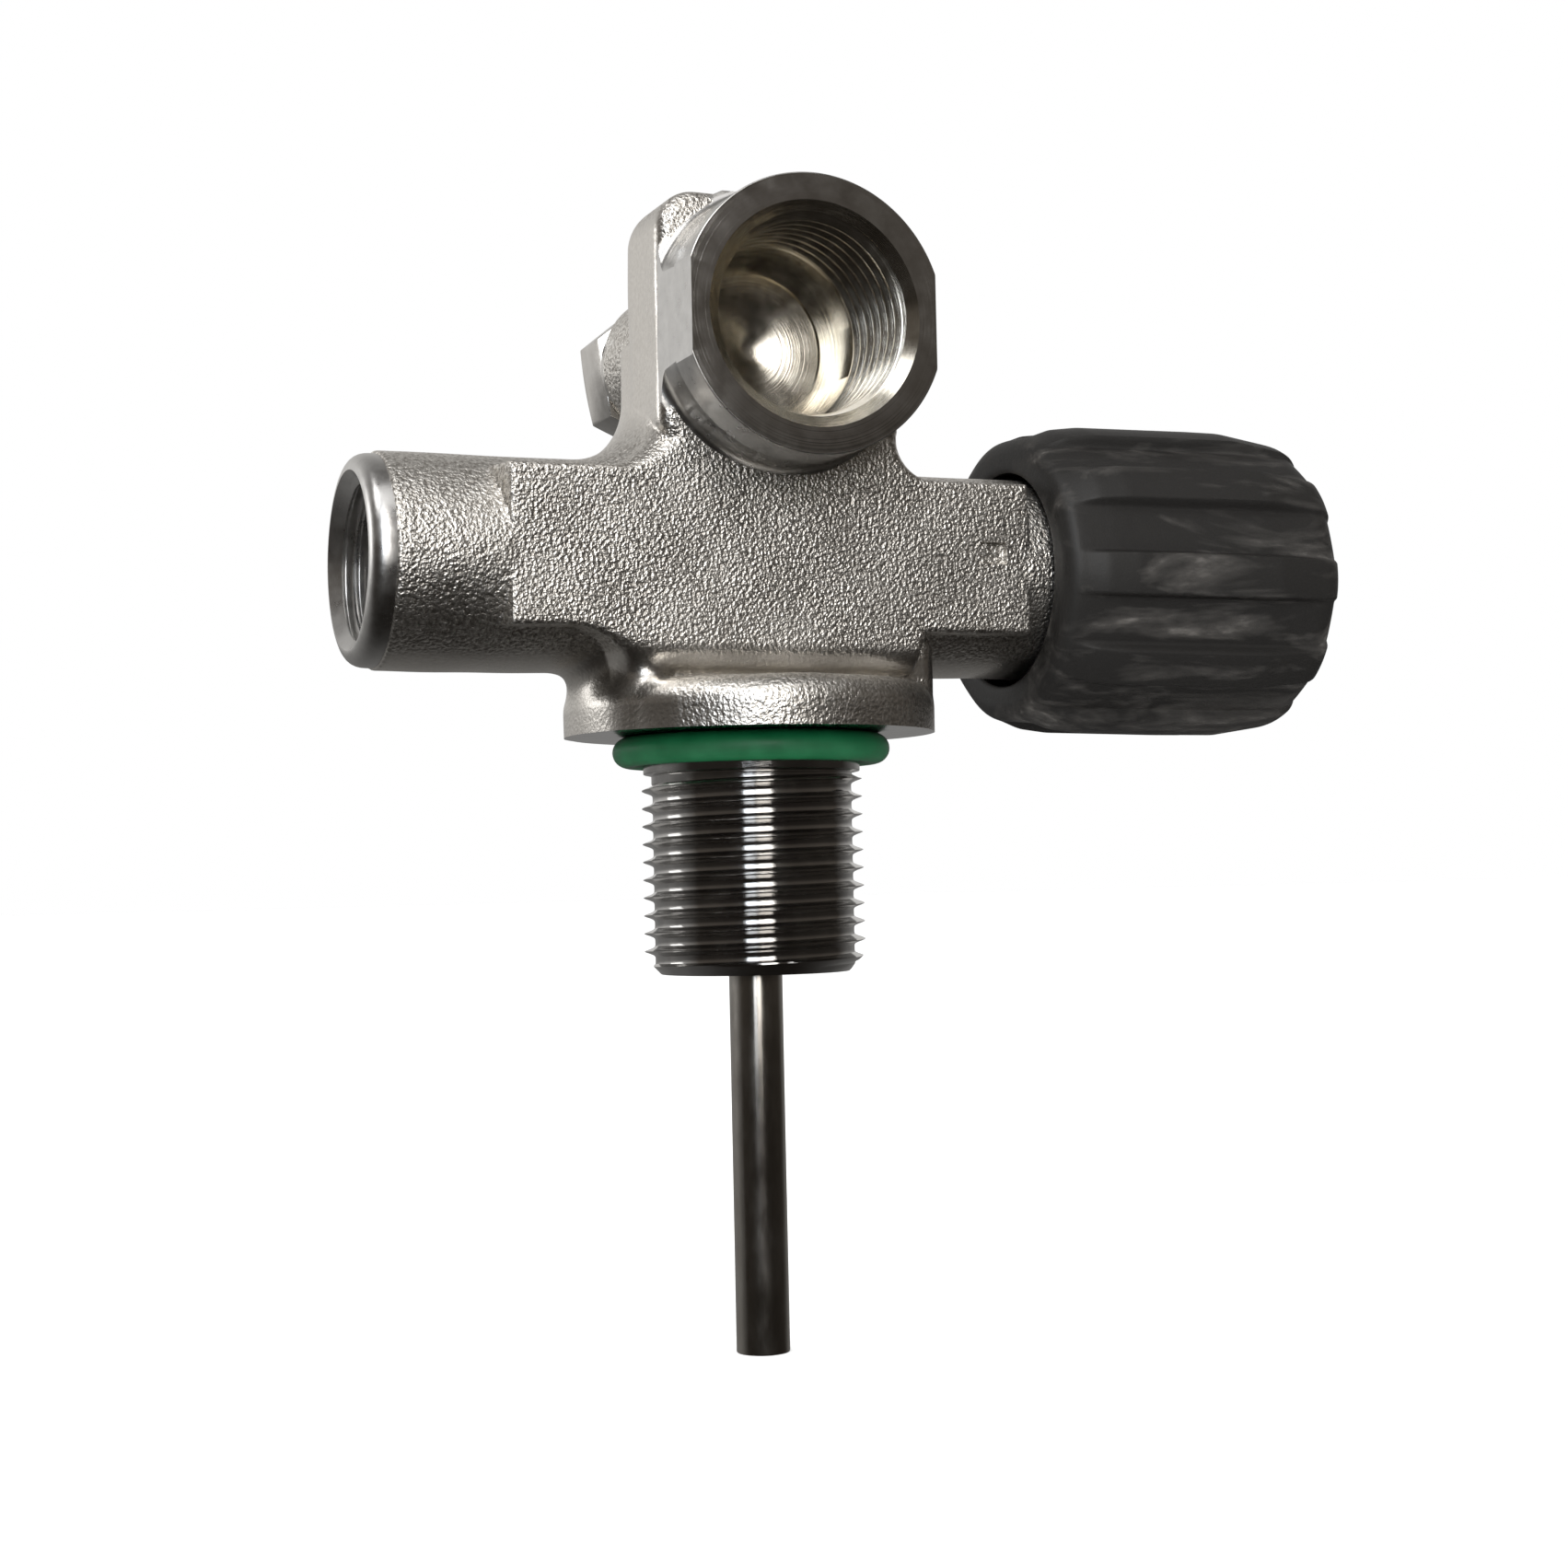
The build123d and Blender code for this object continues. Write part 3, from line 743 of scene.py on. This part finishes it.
def valve_body():
    """Forging from its distance field, then turned ends, milled flats, bores and threads."""
    spacing = 0.34
    # The grid reaches a little past the shape on every side.
    low = (turned_end - 1.1, -flange_r - 1.3, under_cut - 1.13)
    high = (barrel_right + 1.2, boss_face + 1.1, head_top + 1.07)
    points, quads = surface_of(forging, low, high, spacing)
    body = to_object("valve_body_shell", points, quads.tolist(), forged)
    for material in (machined, satin, faced, bored):
        body.data.materials.append(material)
    down = (0, 0, -1)
    underside = [(0, 0), (flange_r + 3, 0), (flange_r + 3, 3), (0, 3)]
    combine(body, lathe("underside", underside, (0, 0, 0), down, machined, 64), "DIFFERENCE")
    land = [(0, -3), (neck_land_r, -3), (neck_land_r, 4.2), (neck_groove_r, 4.4), (neck_groove_r, 5.4)]
    land = softened(land + [(0, 5.4)], 0.15)
    combine(body, lathe("land", land, (0, 0, 0), down, machined), "UNION")
    sizes = (neck_crest_r, neck_root_r, neck_pitch, neck_thread_start, -neck_low, neck_limit)
    stem = thread("stem", sharp_profile, *sizes, (0, 0, 0), down, machined, 160)
    combine(body, stem, "UNION")
    port_end = [(0, 0), (turned_end_r, 0), (turned_end_r, turned_end - barrel_left + 2), (0, 5)]
    port_end = lathe("port_end", softened(port_end, 2.1, 8), (barrel_left, 0, barrel_z), (1, 0, 0), satin)
    combine(body, port_end, "UNION")
    combine(body, outlet_ring(), "UNION")
    cut_outlet(body)
    cut_side_port(body)
    cut_passages(body)
    tidy_mesh(body, 32.0)
    on_plane = 1e-6
    for face in body.data.polygons:
        if abs(abs(face.center.x) - milled_half * MM) < on_plane:
            face.use_smooth = False
        if abs(face.center.y - ring_face * MM) < on_plane:
            face.material_index = body.data.materials.find(faced.name)
    return body


def outlet_ring():
    """Turned ring round the outlet, flared into the head and milled flat on both sides."""
    outline = softened([(0, 0), (ring_r, 0), (ring_r, 5), (0, 5)], 0.15)[:-2]
    outline.append((ring_r, ring_depth - ring_root))
    for a in np.linspace(0, math.pi / 2, 7):
        flare, rest = ring_root * (1 - math.cos(a)), ring_root * (1 - math.sin(a))
        outline.append((ring_r + flare, ring_depth - rest))
    outline += [(ring_r + ring_root, ring_depth + 2.0), (0, ring_depth + 2.0)]
    ring = lathe("ring", outline, (0, ring_face, head_z), (0, 1, 0), satin, 256)
    below = head_z - ring_r - ring_root - 1
    low, high = (-milled_half, ring_face - 1, below), (milled_half, 0, head_z + ring_r)
    combine(ring, block("flats", low, high, satin), "INTERSECT")
    ease = ring.modifiers.new("ease", "BEVEL")
    ease.width = 0.14 * MM
    ease.segments = 1
    ease.angle_limit = math.radians(50)
    bake_modifiers(ring)
    return ring


def cut_outlet(body):
    """Threaded outlet with its mouth chamfer, sealing face and drill point."""
    mouth, inward = (0, ring_face, head_z), (0, 1, 0)
    depth = outlet_floor - ring_face
    bore = [(0, -1), (outlet_mouth_r + 1, -1), (outlet_mouth_r, 0), (outlet_mouth_r - 0.35, 0.35)]
    bore += [(outlet_crest_r, 1.9), (outlet_crest_r, depth), (8.5, depth), (8.4, depth + 0.5)]
    bore += [(1.9, depth + 1.2), (0, depth + 2.2)]
    combine(body, lathe("outlet", bore, mouth, inward, bored, 200), "DIFFERENCE")
    crest = outlet_crest_r - 0.05
    sizes = (outlet_root_r, crest, outlet_pitch, 0.9, 14.0, outlet_limit)
    cutter = thread("thread", cut_profile, *sizes, mouth, inward, bored, 200)
    combine(body, cutter, "DIFFERENCE")


def cut_side_port(body):
    """Threaded side port, open to the seat's nozzle."""
    mouth, inward = (barrel_left, 0, barrel_z), (1, 0, 0)
    depth = port_floor - barrel_left
    bore = [(0, -1), (port_mouth_r + 1, -1), (port_mouth_r, 0), (port_crest_r, 1.4), (port_crest_r, depth)]
    bore += [(passage_r, depth + 1.5), (passage_r, 1 - barrel_left), (0, 1 - barrel_left)]
    combine(body, lathe("port", bore, mouth, inward, satin, 160), "DIFFERENCE")
    sizes = (port_root_r, port_crest_r - 0.05, port_pitch, 0.6, 13.6, port_limit)
    cutter = thread("thread", cut_profile, *sizes, mouth, inward, satin, 160)
    combine(body, cutter, "DIFFERENCE")


def cut_passages(body):
    """Seat chamber, bonnet bore, plug socket, dip tube socket and gas drillings."""
    seat_face = node_low("soft_seat").x
    carrier_r = (node_high("lower_spindle").z - node_low("lower_spindle").z) / 2 + 0.05
    bonnet_left = node_low("bonnet_nut").x
    bonnet_r = 8.92
    nozzle_tip = seat_face - 0.05
    chamber = [(0, 0), (seat_bore_r, 0), (seat_bore_r, nozzle_tip), (3.0, nozzle_tip), (4.0, 3.5)]
    chamber += [(8, 3.5), (8, 8), (carrier_r, 8), (carrier_r, bonnet_left), (bonnet_r, bonnet_left)]
    chamber += [(bonnet_r, barrel_right - 1), (bonnet_r + 1, barrel_right)]
    chamber += [(bonnet_r + 1, barrel_right + 2), (0, barrel_right + 2)]
    combine(body, lathe("chamber", chamber, (0, 0, barrel_z), (1, 0, 0), brass, 96), "DIFFERENCE")
    socket_r = (node_high("burst_disc").x - node_low("burst_disc").x) / 2 + 0.32
    socket = node_low("burst_disc").y
    tube_r = (node_high("dip_tube").x - node_low("dip_tube").x) / 2 + 0.02
    tube_top = node_high("dip_tube").z + 0.2
    for radius, start, end in (
        (socket_r, (0, socket, plug_z), (0, boss_face + 2, plug_z)),
        (tube_r, (0, 0, neck_low - 1), (0, 0, tube_top)),
        (passage_r, (0, 0, tube_top - 1), (0, 0, barrel_z)),
        (drill_r, (drill_x, drill_y, barrel_z), (drill_x, drill_y, plug_z + drill_r)),
        (drill_r, (drill_x, drill_y, plug_z), (drill_x, socket + 0.5, plug_z)),
    ):
        combine(body, rod("drill", radius, start, end, brass), "DIFFERENCE")
    riser = rod("riser", outlet_feed_r, (5.8, 0, barrel_z + 5), (-1.4, 0.9, head_z - 1.4), bored)
    combine(body, riser, "DIFFERENCE")
    combine(body, block("dimple", dimple - dimple_half, dimple + dimple_half, forged), "DIFFERENCE")


# ---- pieces fixed to the body
def ring_of_wire(name, node, axis, material):
    """O-ring of round section that fills a CAD ring's box."""
    low, high = node_low(node), node_high(node)
    wire = (high[axis] - low[axis]) / 2
    other = (axis + 1) % 3
    outer = (high[other] - low[other]) / 2
    centre = (low + high) / 2
    outline = [
        (outer - wire + wire * math.cos(a), wire * math.sin(a)) for a in np.linspace(0, 2 * math.pi, 33)[:-1]
    ]
    direction = Vector([float(i == axis) for i in range(3)])
    return lathe(name, outline, centre, direction, material, 192)


def dip_tube():
    """Thin tube with cut, slightly rounded ends."""
    low, high = node_low("dip_tube"), node_high("dip_tube")
    outer = (high.x - low.x) / 2
    outline = [(outer - 1.0, 0), (outer, 0), (outer, high.z - low.z), (outer - 1.0, high.z - low.z)]
    return lathe("dip_tube_drawn", softened(outline, 0.18), (0, 0, low.z), (0, 0, 1), tube, 96)


def hexagon(name, flats, low, high, origin, direction, turn, material, bevel=0.12):
    """Hexagon between two distances, its far corners turned away, edges eased."""
    first, second, last = axes_of(direction)
    corner = flats / math.sqrt(3)
    verts = []
    for t in (low, high):
        for k in range(6):
            a = math.radians(turn + 60 * k)
            out = first * math.cos(a) + second * math.sin(a)
            verts.append(Vector(origin) + last * t + out * corner)
    faces = [list(range(6)), list(range(6, 12))]
    faces += [[k, (k + 1) % 6, (k + 1) % 6 + 6, k + 6] for k in range(6)]
    prism = to_object(name, verts, faces, material, 20)
    ease = prism.modifiers.new("ease", "BEVEL")
    ease.width = bevel * MM
    ease.segments = 2
    bake_modifiers(prism)
    crown = [(0, low - 1), (corner + 2, low - 1), (corner + 2, high - 1.6), (flats / 2 - 0.5, high + 0.05)]
    crown += [(0, high + 0.05)]
    combine(prism, lathe("crown", crown, origin, direction, material, 128), "INTERSECT")
    return prism


def burst_plug():
    """Hexagon plug with a plain round shank and a vent."""
    low, high = node_low("burst_disc_plug"), node_high("burst_disc_plug")
    origin, direction = (0, 0, plug_z), (0, 1, 0)
    hex_start = node_high("burst_disc_washer").y
    sizes = (plug_flats, hex_start, high.y)
    plug = hexagon("burst_plug_hexagon", *sizes, origin, direction, plug_turn, bright)
    shank = [(0, low.y), (plug_shank_r - 0.4, low.y), (plug_shank_r, low.y + 0.8)]
    shank = softened(shank + [(plug_shank_r, hex_start + 1), (0, hex_start + 1)], 0.1)
    combine(plug, lathe("shank", shank, origin, direction, bright, 96), "UNION")
    vent = [(0, low.y - 1), (plug_vent_r, low.y - 1), (plug_vent_r, high.y - 0.5)]
    vent = softened(vent + [(plug_vent_r + 0.6, high.y + 0.5), (0, high.y + 0.5)], 0.05)
    combine(plug, lathe("vent", vent, origin, direction, bright, 48), "DIFFERENCE")
    tidy_mesh(plug, 25)
    return plug


def washer(name, node, axis, hole_r, material):
    """Flat ring that fills a CAD ring's box."""
    low, high = node_low(node), node_high(node)
    other = (axis + 1) % 3
    outer = (high[other] - low[other]) / 2
    height = high[axis] - low[axis]
    centre = (low + high) / 2
    centre[axis] = low[axis]
    outline = softened([(hole_r, 0), (outer, 0), (outer, height), (hole_r, height)], 0.15)
    direction = Vector([float(i == axis) for i in range(3)])
    return lathe(name, outline, centre, direction, material, 96)


# ---- handwheel
rib_count = 10
rib_width = 5.3
rib_angle = 21.5
rib_flank = 0.040  # width of a rib's side, in radians round the wheel
groove_sag = 0.10
grip_lip_r = 12.4
grip_round = 3.6
grip_overhang = 1.4
grip_groove_r = 17.2
rib_height = 1.35
grip_bore_r = 13.6
grip_mouth_r = 11.2
core_recess_r = 10.5
drive_square = 5.7
tail_bore_r = 3.02
spindle_bore_r = 4.02
spring_wire_r = 0.55
spring_turns = 5.0
nut_flats = 10.0
nut_turn = 12.0


def grip_outline(left, right, radius, rib):
    """Outer half outline of the grip from its rim to its mouth, for a groove or for a rib."""
    points = [(grip_bore_r, left + 0.7), (grip_lip_r, left + 0.5), (grip_lip_r + 0.2, left + 0.1)]
    points += [(grip_lip_r + 0.8, left), (15.2, left), (16.1, left + 0.35), (16.7, left + 1.1)]
    if rib:
        points += [(grip_groove_r - 0.2, left + 2.2), (radius - 0.7, left + 4.4), (radius - 0.25, left + 8)]
    else:
        points += [(radius - 0.35, left + 2.6), (radius - 0.15, left + 6)]
    tip = radius - (1.0 if rib else 0.15)
    points += [(radius, right - 14), (radius, right - 10), (tip + 0.05, right - grip_round)]
    for a in np.linspace(0.25, math.pi / 2, 8):
        points.append((tip - grip_round * (1 - math.cos(a)), right - grip_round * (1 - math.sin(a))))
    points += [(grip_mouth_r + 1.2, right), (grip_mouth_r + 0.3, right - 0.15)]
    return points + [(grip_mouth_r, right - 0.6)]


def spread(points, count):
    """Points spread evenly along a polyline, with a little rounding at its corners."""
    path = np.array(points)
    gaps = np.hypot(*np.diff(path, axis=0).T)
    along = np.concatenate([[0], np.cumsum(gaps)])
    even = np.linspace(0, along[-1], count)
    out = np.stack([np.interp(even, along, path[:, i]) for i in range(2)], 1)
    for _ in range(2):
        out[1:-1] = (out[:-2] + 2 * out[1:-1] + out[2:]) / 4
    return out


def knob_grip():
    """Ribbed rubber sleeve: groove and rib outlines mixed round the wheel."""
    left, right = node_low("knob_grip").x - 0.4, node_high("knob_grip").x + grip_overhang
    core_left, core_right = node_low("knob_core").x, node_high("knob_core").x
    core_r = (node_high("knob_core").z - node_low("knob_core").z) / 2 + 0.02
    count = 150
    groove = spread(grip_outline(left, right, grip_groove_r, False), count)
    rib = spread(grip_outline(left, right, grip_groove_r + rib_height, True), count)
    inner = [(grip_mouth_r, core_right + 0.02), (core_r, core_right + 0.02)]
    inner += [(core_r, core_left - 0.02), (grip_bore_r, core_left - 0.02)]
    steps = 720
    pitch = 2 * math.pi / rib_count
    half = rib_width / (grip_groove_r + rib_height) / 2
    verts, rows = [], []
    for k in range(steps):
        a = 2 * math.pi * k / steps
        offset = abs((a - math.radians(rib_angle) + pitch / 2) % pitch - pitch / 2)
        share = rise((half - offset) / rib_flank + 0.5)
        sag = groove_sag * math.cos(math.pi * offset / (pitch / 2))
        column = groove * (1 - share) + rib * share
        column = [(r + (sag if 10 < i < count - 12 else 0), x) for i, (r, x) in enumerate(column)] + inner
        rows.append(range(len(verts), len(verts) + len(column)))
        for r, x in column:
            verts.append((x, -r * math.sin(a), barrel_z + r * math.cos(a)))
    faces = []
    for k in range(steps):
        here, after = rows[k], rows[(k + 1) % steps]
        for i in range(len(here)):
            faces.append([here[i - 1], here[i], after[i], after[i - 1]])
    return to_object("knob_grip_rubber", verts, faces, grip, 40)


def knob_core():
    """Hard core with a deep recess and the square drive hole."""
    low, high = node_low("knob_core"), node_high("knob_core")
    outer = (high.z - low.z) / 2
    floor = node_low("knob_spring").x
    outline = [(0, low.x), (outer, low.x), (outer, high.x), (core_recess_r, high.x)]
    outline += [(core_recess_r, floor), (0, floor)]
    core = lathe("knob_core_moulded", softened(outline, 0.3), (0, 0, barrel_z), (1, 0, 0), hard_plastic, 128)
    side = drive_square / 2
    ends = ((low.x - 1, -side, barrel_z - side), (floor + 1, side, barrel_z + side))
    combine(core, block("square", *ends, hard_plastic), "DIFFERENCE")
    tidy_mesh(core, 30)
    return core


def knob_spring():
    """Compression spring with closed end turns."""
    low, high = node_low("knob_spring"), node_high("knob_spring")
    wire, turns = spring_wire_r, spring_turns
    mean = (high.z - low.z) / 2 - wire
    length = high.x - low.x - 2 * wire
    steps, sides = 48, 12
    verts, rows = [], []
    for k in range(int(turns * steps) + 1):
        s = k / (turns * steps)
        lift = np.interp(s * turns, [0, 0.9, turns - 0.9, turns], [0, 0.12, 0.88, 1.0])
        a = 2 * math.pi * s * turns
        out = Vector((0, math.cos(a), math.sin(a)))
        centre = Vector((low.x + wire + lift * length, 0, barrel_z)) + out * mean
        rows.append(range(len(verts), len(verts) + sides))
        for j in range(sides):
            b = 2 * math.pi * j / sides
            verts.append(centre + (out * math.cos(b) + Vector((1, 0, 0)) * math.sin(b)) * wire)
    faces = [list(rows[0]), list(rows[-1])]
    for here, after in zip(rows, rows[1:]):
        for j in range(sides):
            n = (j + 1) % sides
            faces.append([here[j], here[n], after[n], after[j]])
    return to_object("knob_spring_coil", verts, faces, stainless, 50)


def knob_nut():
    """Lock nut with a chamfered crown."""
    low, high = node_low("knob_nut"), node_high("knob_nut")
    origin, direction = (0, 0, barrel_z), (1, 0, 0)
    sizes = (nut_flats, low.x, high.x)
    nut = hexagon("knob_nut_hexagon", *sizes, origin, direction, nut_turn, stainless, 0.08)
    bore = [(0, low.x - 1), (tail_bore_r, low.x - 1), (tail_bore_r, high.x - 0.4)]
    bore += [(3.5, high.x + 0.2), (0, high.x + 0.2)]
    combine(nut, lathe("bore", bore, origin, direction, stainless, 64), "DIFFERENCE")
    tidy_mesh(nut, 25)
    return nut


def keep_on(piece, body, node):
    """Parents a piece to the body it rides on and hides the CAD node it replaces."""
    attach(piece, body)
    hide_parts(node)


tube = tube_chrome()
pieces = {
    "valve_body": (valve_body(), "valve"),
    "neck_o_ring": (ring_of_wire("neck_o_ring_moulded", "neck_o_ring", 2, green), "valve"),
    "dip_tube": (dip_tube(), "valve"),
    "burst_disc_plug": (burst_plug(), "valve"),
    "burst_disc_washer": (
        washer("burst_washer_turned", "burst_disc_washer", 1, plug_shank_r + 0.02, bright),
        "valve",
    ),
    "knob_grip": (knob_grip(), "handwheel"),
    "knob_core": (knob_core(), "handwheel"),
    "knob_spring": (knob_spring(), "handwheel"),
    "knob_spring_washer": (
        washer("knob_washer_turned", "knob_spring_washer", 0, tail_bore_r, stainless),
        "handwheel",
    ),
    "knob_nut": (knob_nut(), "handwheel"),
    "knob_slip_washer": (
        washer("slip_washer_turned", "knob_slip_washer", 0, spindle_bore_r, white_plastic),
        "handwheel",
    ),
}
for node, (piece, body) in pieces.items():
    keep_on(piece, body, node)

finishes = {
    "burst_disc": copper,
    "bonnet_nut": bright,
    "bonnet_o_ring": black,
    "upper_spindle": stainless,
    "spindle_thrust_washer": white_plastic,
    "spindle_o_ring_inner": black,
    "spindle_o_ring_outer": black,
    "spindle_backup_ring": white_plastic,
    "lower_spindle": brass,
    "soft_seat": white_plastic,
}
for node, material in finishes.items():
    mesh = frame["nodes"][node].data
    mesh.materials.clear()
    mesh.materials.append(material)


# ---- floor, light and camera
floor_z = cad_low.z
lit_point = Vector((0.0, 0, 0.01))


def lay_floor():
    """Plain pale floor, just under the dip tube's end."""
    half = 6.0
    mesh = bpy.data.meshes.new("floor")
    corners = [(-half, -half), (half, -half), (half, half), (-half, half)]
    mesh.from_pydata([(x, y, floor_z) for x, y in corners], [], [(0, 1, 2, 3)])
    floor = bpy.data.objects.new("floor", mesh)
    bpy.context.scene.collection.objects.link(floor)
    m = Shader("pale_floor", Roughness=0.9, Specular_IOR_Level=0.1)
    m.set("Base Color", m.colours(m.noise(400, 2.0), (0.3, 0.955, 0.955, 0.95), (0.7, 0.975, 0.975, 0.97)))
    mesh.materials.append(m.material)
    floor.visible_glossy = False


def direction_at(azimuth, elevation):
    """Unit vector toward an azimuth, counted from the outlet's side, and an elevation in degrees."""
    a, e = math.radians(azimuth), math.radians(elevation)
    return Vector((math.sin(a) * math.cos(e), -math.cos(a) * math.cos(e), math.sin(e)))


def soft_light(name, azimuth, elevation, distance, width, height, power, colour=(1, 1, 1)):
    """Rectangular soft light that faces the object, placed round it by angles in degrees."""
    away = direction_at(azimuth, elevation)
    data = bpy.data.lights.new(name, "AREA")
    data.shape = "RECTANGLE"
    data.size = width
    data.size_y = height
    data.energy = power
    data.color = colour
    light = bpy.data.objects.new(name, data)
    light.location = lit_point + away * distance
    light.rotation_mode = "QUATERNION"
    light.rotation_quaternion = (-away).to_track_quat("-Z", "Y")
    bpy.context.scene.collection.objects.link(light)
    return light


def graded(nodes, links, value, stops):
    """Colour from a direction's component, between -1 and 1; each stop is (value, red, green, blue)."""
    lift = nodes.new("ShaderNodeMapRange")
    lift.inputs["From Min"].default_value = -1
    links.new(value, lift.inputs["Value"])
    ramp = nodes.new("ShaderNodeValToRGB")
    fill_ramp(ramp.color_ramp.elements, [((level + 1) / 2, *colour) for level, *colour in stops])
    links.new(lift.outputs["Result"], ramp.inputs["Fac"])
    return ramp.outputs["Color"]


def light_room():
    """Studio: reflections see a room that is bright behind and dim in front, with soft windows."""
    world = bpy.data.worlds.new("room")
    world.use_nodes = True
    world.cycles.sampling_method = "NONE"
    nodes, links = world.node_tree.nodes, world.node_tree.links
    split = nodes.new("ShaderNodeSeparateXYZ")
    links.new(nodes.new("ShaderNodeTexCoord").outputs["Generated"], split.inputs[0])
    # How bright the room is from front (-1) to back, then from below (-1) to above.
    depth = [(-1, 0.062, 0.054, 0.046), (0.0, 0.100, 0.088, 0.076)]
    depth += [(0.35, 0.42, 0.41, 0.40), (0.65, 0.68, 0.67, 0.655)]
    height = [(-1, 0.13), (-0.15, 0.30), (0.0, 0.34), (0.12, 0.95), (0.3, 1.0), (0.9, 0.5)]
    height = [(position, level, level, level) for position, level in height]
    product = nodes.new("ShaderNodeVectorMath")
    product.operation = "MULTIPLY"
    links.new(graded(nodes, links, split.outputs["Y"], depth), product.inputs[0])
    links.new(graded(nodes, links, split.outputs["Z"], height), product.inputs[1])
    path = nodes.new("ShaderNodeLightPath")
    shown = nodes["Background"]
    links.new(product.outputs[0], shown.inputs["Color"])
    for ray in ("Is Diffuse Ray", "Is Camera Ray"):
        plain = nodes.new("ShaderNodeBackground")
        plain.inputs["Color"].default_value = (1, 1, 1, 1)
        if ray == "Is Diffuse Ray":
            plain.inputs["Strength"].default_value = 1.25
            dome = [(-1, 0.20, 0.20, 0.20), (0, 0.70, 0.70, 0.70), (1, 1, 1, 1)]
            links.new(graded(nodes, links, split.outputs["Z"], dome), plain.inputs["Color"])
        mix = nodes.new("ShaderNodeMixShader")
        links.new(path.outputs[ray], mix.inputs["Fac"])
        links.new(shown.outputs[0], mix.inputs[1])
        links.new(plain.outputs[0], mix.inputs[2])
        shown = mix
    links.new(shown.outputs[0], nodes["World Output"].inputs["Surface"])
    bpy.context.scene.world = world
    soft_light("cool_window", -25, 22, 0.9, 0.20, 0.76, 2.1, (0.86, 0.92, 1.0))
    soft_light("warm_window", -9, 22, 0.9, 0.27, 0.76, 2.9, (1.0, 0.975, 0.94))
    soft_light("side_window", -126, 13, 0.9, 0.34, 0.26, 0.55)
    soft_light("corner_window", -62, 54, 0.9, 0.42, 0.42, 1.7)
    soft_light("top_window", 8, 64, 0.9, 0.55, 0.45, 0.9)
    ceiling = soft_light("ceiling", 0, 89, 1.2, 2.4, 2.4, 6.0)
    ceiling.visible_glossy = False


def place_camera():
    """Camera at the height of the neck, left of the outlet, with a slight roll."""
    azimuth, elevation, roll = -22.84, -2.17, -1.22
    distance, lens, sensor = 0.2806, 56.82, 36.0
    target = Vector((3.95, 0, -5.46)) * MM
    back = direction_at(azimuth, elevation)
    data = bpy.data.cameras.new("camera")
    data.lens = lens
    data.sensor_width = sensor
    data.clip_start = 0.01
    camera = bpy.data.objects.new("camera", data)
    camera.location = target + back * distance
    camera.rotation_mode = "QUATERNION"
    tilt = Matrix.Rotation(math.radians(roll), 3, "Z").to_quaternion()
    camera.rotation_quaternion = (-back).to_track_quat("-Z", "Y") @ tilt
    bpy.context.scene.collection.objects.link(camera)
    bpy.context.scene.camera = camera


bpy.context.scene.view_settings.view_transform = "Standard"
lay_floor()
light_room()
place_camera()
